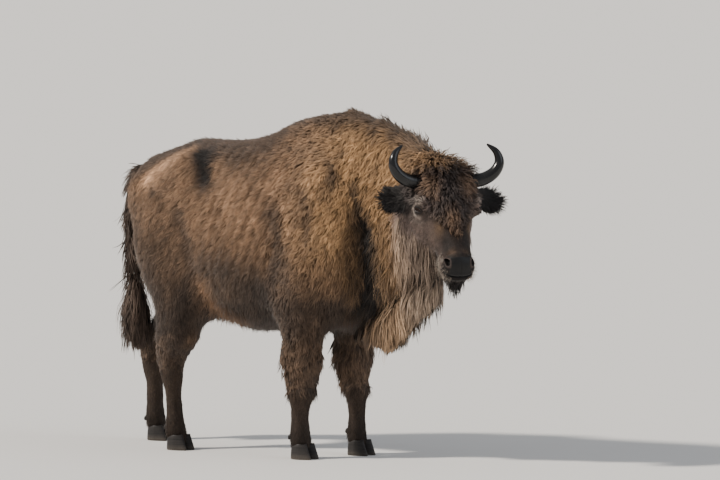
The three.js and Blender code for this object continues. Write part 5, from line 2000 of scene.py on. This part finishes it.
def hoof_material(settings):
    """Dark horn with fine upright fibres, rings and dust near the floor."""
    material, tree, shader = new_material("wisent_hoof")
    place = object_place(tree)
    fibres = noise_of(tree, scaled_vector(tree, place, (500.0, 500.0, 30.0)), 1.0)
    bands = noise_of(tree, scaled_vector(tree, place, (6.0, 6.0, 190.0)), 1.0)
    height = node(tree, "ShaderNodeSeparateXYZ", None, {0: place}).outputs["Z"]
    dust = ranged(tree, height, 0.35, 0.0, 0.0, 0.03)
    colour = mixed(tree, "RGBA", dust, (*settings.hoof, 1), (*DUST, 1))
    colour = colour_times(tree, colour, ranged(tree, bands, 0.6, 1.5, 0.3, 0.7))
    colour = colour_times(tree, colour, ranged(tree, fibres, 0.75, 1.3, 0.3, 0.7))
    link(tree, colour, shader.inputs["Base Color"])
    normal = bump(tree, fibres, 0.3, 0.0005, bump(tree, bands, 0.4, 0.0012))
    link(tree, normal, shader.inputs["Normal"])
    shader.inputs["Roughness"].default_value = 0.55
    shader.inputs["Specular IOR Level"].default_value = 0.30
    return material


class WISENT_OT_hooves(bpy.types.Operator):
    """Make the claws of the hooves and the small claws behind them"""

    bl_idname = "wisent.hooves"
    bl_label = "Hooves"

    def execute(self, context):
        material = hoof_material(context.scene.wisent_body)
        for leg, side_name, which in product(("foreleg", "hindleg"), SIDES, ("inner", "outer")):
            tail = f"{leg}_{side_name}_{which}"  # the end of the names
            hoof, small = f"hoof_{tail}", f"small_claw_{tail}"
            across = SIDES[side_name] * (1 if which == "outer" else -1)
            low, high = (np.array(v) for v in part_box(f"claw_{tail}"))
            add_piece(hoof, claw_mesh(hoof, low, high, across), material, "hoof", [f"claw_{tail}"])
            low, high = (np.array(v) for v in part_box(f"dewclaw_{tail}"))
            middle = 0.5 * (low + high)
            near = made["points"][np.linalg.norm(made["points"] - middle, axis=1).argmin()]
            shift = 0.75 * (near - middle)  # towards the skin, so that it sits on the leg
            mesh = dewclaw_mesh(small, low + shift, high + shift)
            add_piece(small, mesh, material, "hoof", [f"dewclaw_{tail}"])
        return {"FINISHED"}


def direction(azimuth, elevation):
    """The way from the part towards a lamp or a camera."""
    a, e = math.radians(azimuth), math.radians(elevation)
    return Vector((math.sin(a) * math.cos(e), -math.cos(a) * math.cos(e), math.sin(e)))


def placed(name, data):
    """A new object in the scene."""
    made_object = bpy.data.objects.new(name, data)
    bpy.context.scene.collection.objects.link(made_object)
    return made_object


class WISENT_OT_stage(bpy.types.Operator):
    """Set the floor, the light and the camera"""

    bl_idname = "wisent.stage"
    bl_label = "Stage"

    def execute(self, context):
        settings = context.scene.wisent_stage
        self.floor(settings)
        world = bpy.data.worlds.new("studio")
        world.use_nodes = True
        back = world.node_tree.nodes["Background"]
        back.inputs["Color"].default_value = (0.93, 0.95, 1.0, 1)
        back.inputs["Strength"].default_value = settings.fill
        context.scene.world = world
        for name, (azimuth, elevation, share, spread, tint) in SUNS.items():
            lamp = bpy.data.lights.new(name, "SUN")
            lamp.energy = settings.key * share
            lamp.angle = math.radians(spread)
            lamp.color = tint
            turn = direction(azimuth, elevation).to_track_quat("Z", "Y")
            placed(name, lamp).rotation_euler = turn.to_euler()
        context.scene.camera = self.camera()
        return {"FINISHED"}

    def floor(self, settings):
        half = FLOOR_HALF
        mesh = bpy.data.meshes.new("floor")
        corners = [(-half, -half, 0), (half, -half, 0), (half, half, 0), (-half, half, 0)]
        mesh.from_pydata(corners, [], [(0, 1, 2, 3)])
        material, _, shader = new_material("studio_floor")
        shader.inputs["Base Color"].default_value = (*settings.floor, 1)
        shader.inputs["Roughness"].default_value = 0.9
        mesh.materials.append(material)
        floor = placed("floor", mesh)

    def camera(self):
        back = direction(CAMERA_AZIMUTH, CAMERA_ELEVATION)
        right = direction(CAMERA_AZIMUTH + 90, 0)
        up = back.cross(right)
        data = bpy.data.cameras.new("camera")
        data.lens = LENS
        data.sensor_width = 36
        data.clip_end = 1000
        camera = placed("camera", data)
        camera.rotation_euler = Matrix((right, up, back)).transposed().to_euler()
        place = right * CAMERA_AIM[0] + up * CAMERA_AIM[1] + back * CAMERA_DISTANCE
        camera.location = place - Vector(SHIFT)
        return camera


SETTINGS = {"wisent_coat": WisentCoat, "wisent_body": WisentBody, "wisent_stage": WisentStage}
OPERATORS = [
    WISENT_OT_skin,
    WISENT_OT_coat,
    WISENT_OT_mane,
    WISENT_OT_eyes,
    WISENT_OT_horns,
    WISENT_OT_bristles,
    WISENT_OT_hooves,
    WISENT_OT_stage,
]


class WISENT_PT_panel(bpy.types.Panel):
    bl_label = "Wisent"
    bl_space_type = "VIEW_3D"
    bl_region_type = "UI"
    bl_category = "Wisent"

    def draw(self, context):
        for group, kind in SETTINGS.items():
            for key in kind.__annotations__:
                self.layout.prop(getattr(context.scene, group), key)
        for operator in OPERATORS:
            self.layout.operator(operator.bl_idname)


def register():
    for kind in (*SETTINGS.values(), *OPERATORS, WISENT_PT_panel):
        bpy.utils.register_class(kind)
    for group, kind in SETTINGS.items():
        setattr(bpy.types.Scene, group, PointerProperty(type=kind))


def unregister():
    for group in SETTINGS:
        delattr(bpy.types.Scene, group)
    for kind in reversed((*SETTINGS.values(), *OPERATORS, WISENT_PT_panel)):
        bpy.utils.unregister_class(kind)


def main():
    register()
    for operator in OPERATORS:
        group, name = operator.bl_idname.split(".")
        getattr(getattr(bpy.ops, group), name)()


if __name__ == "__main__":
    main()
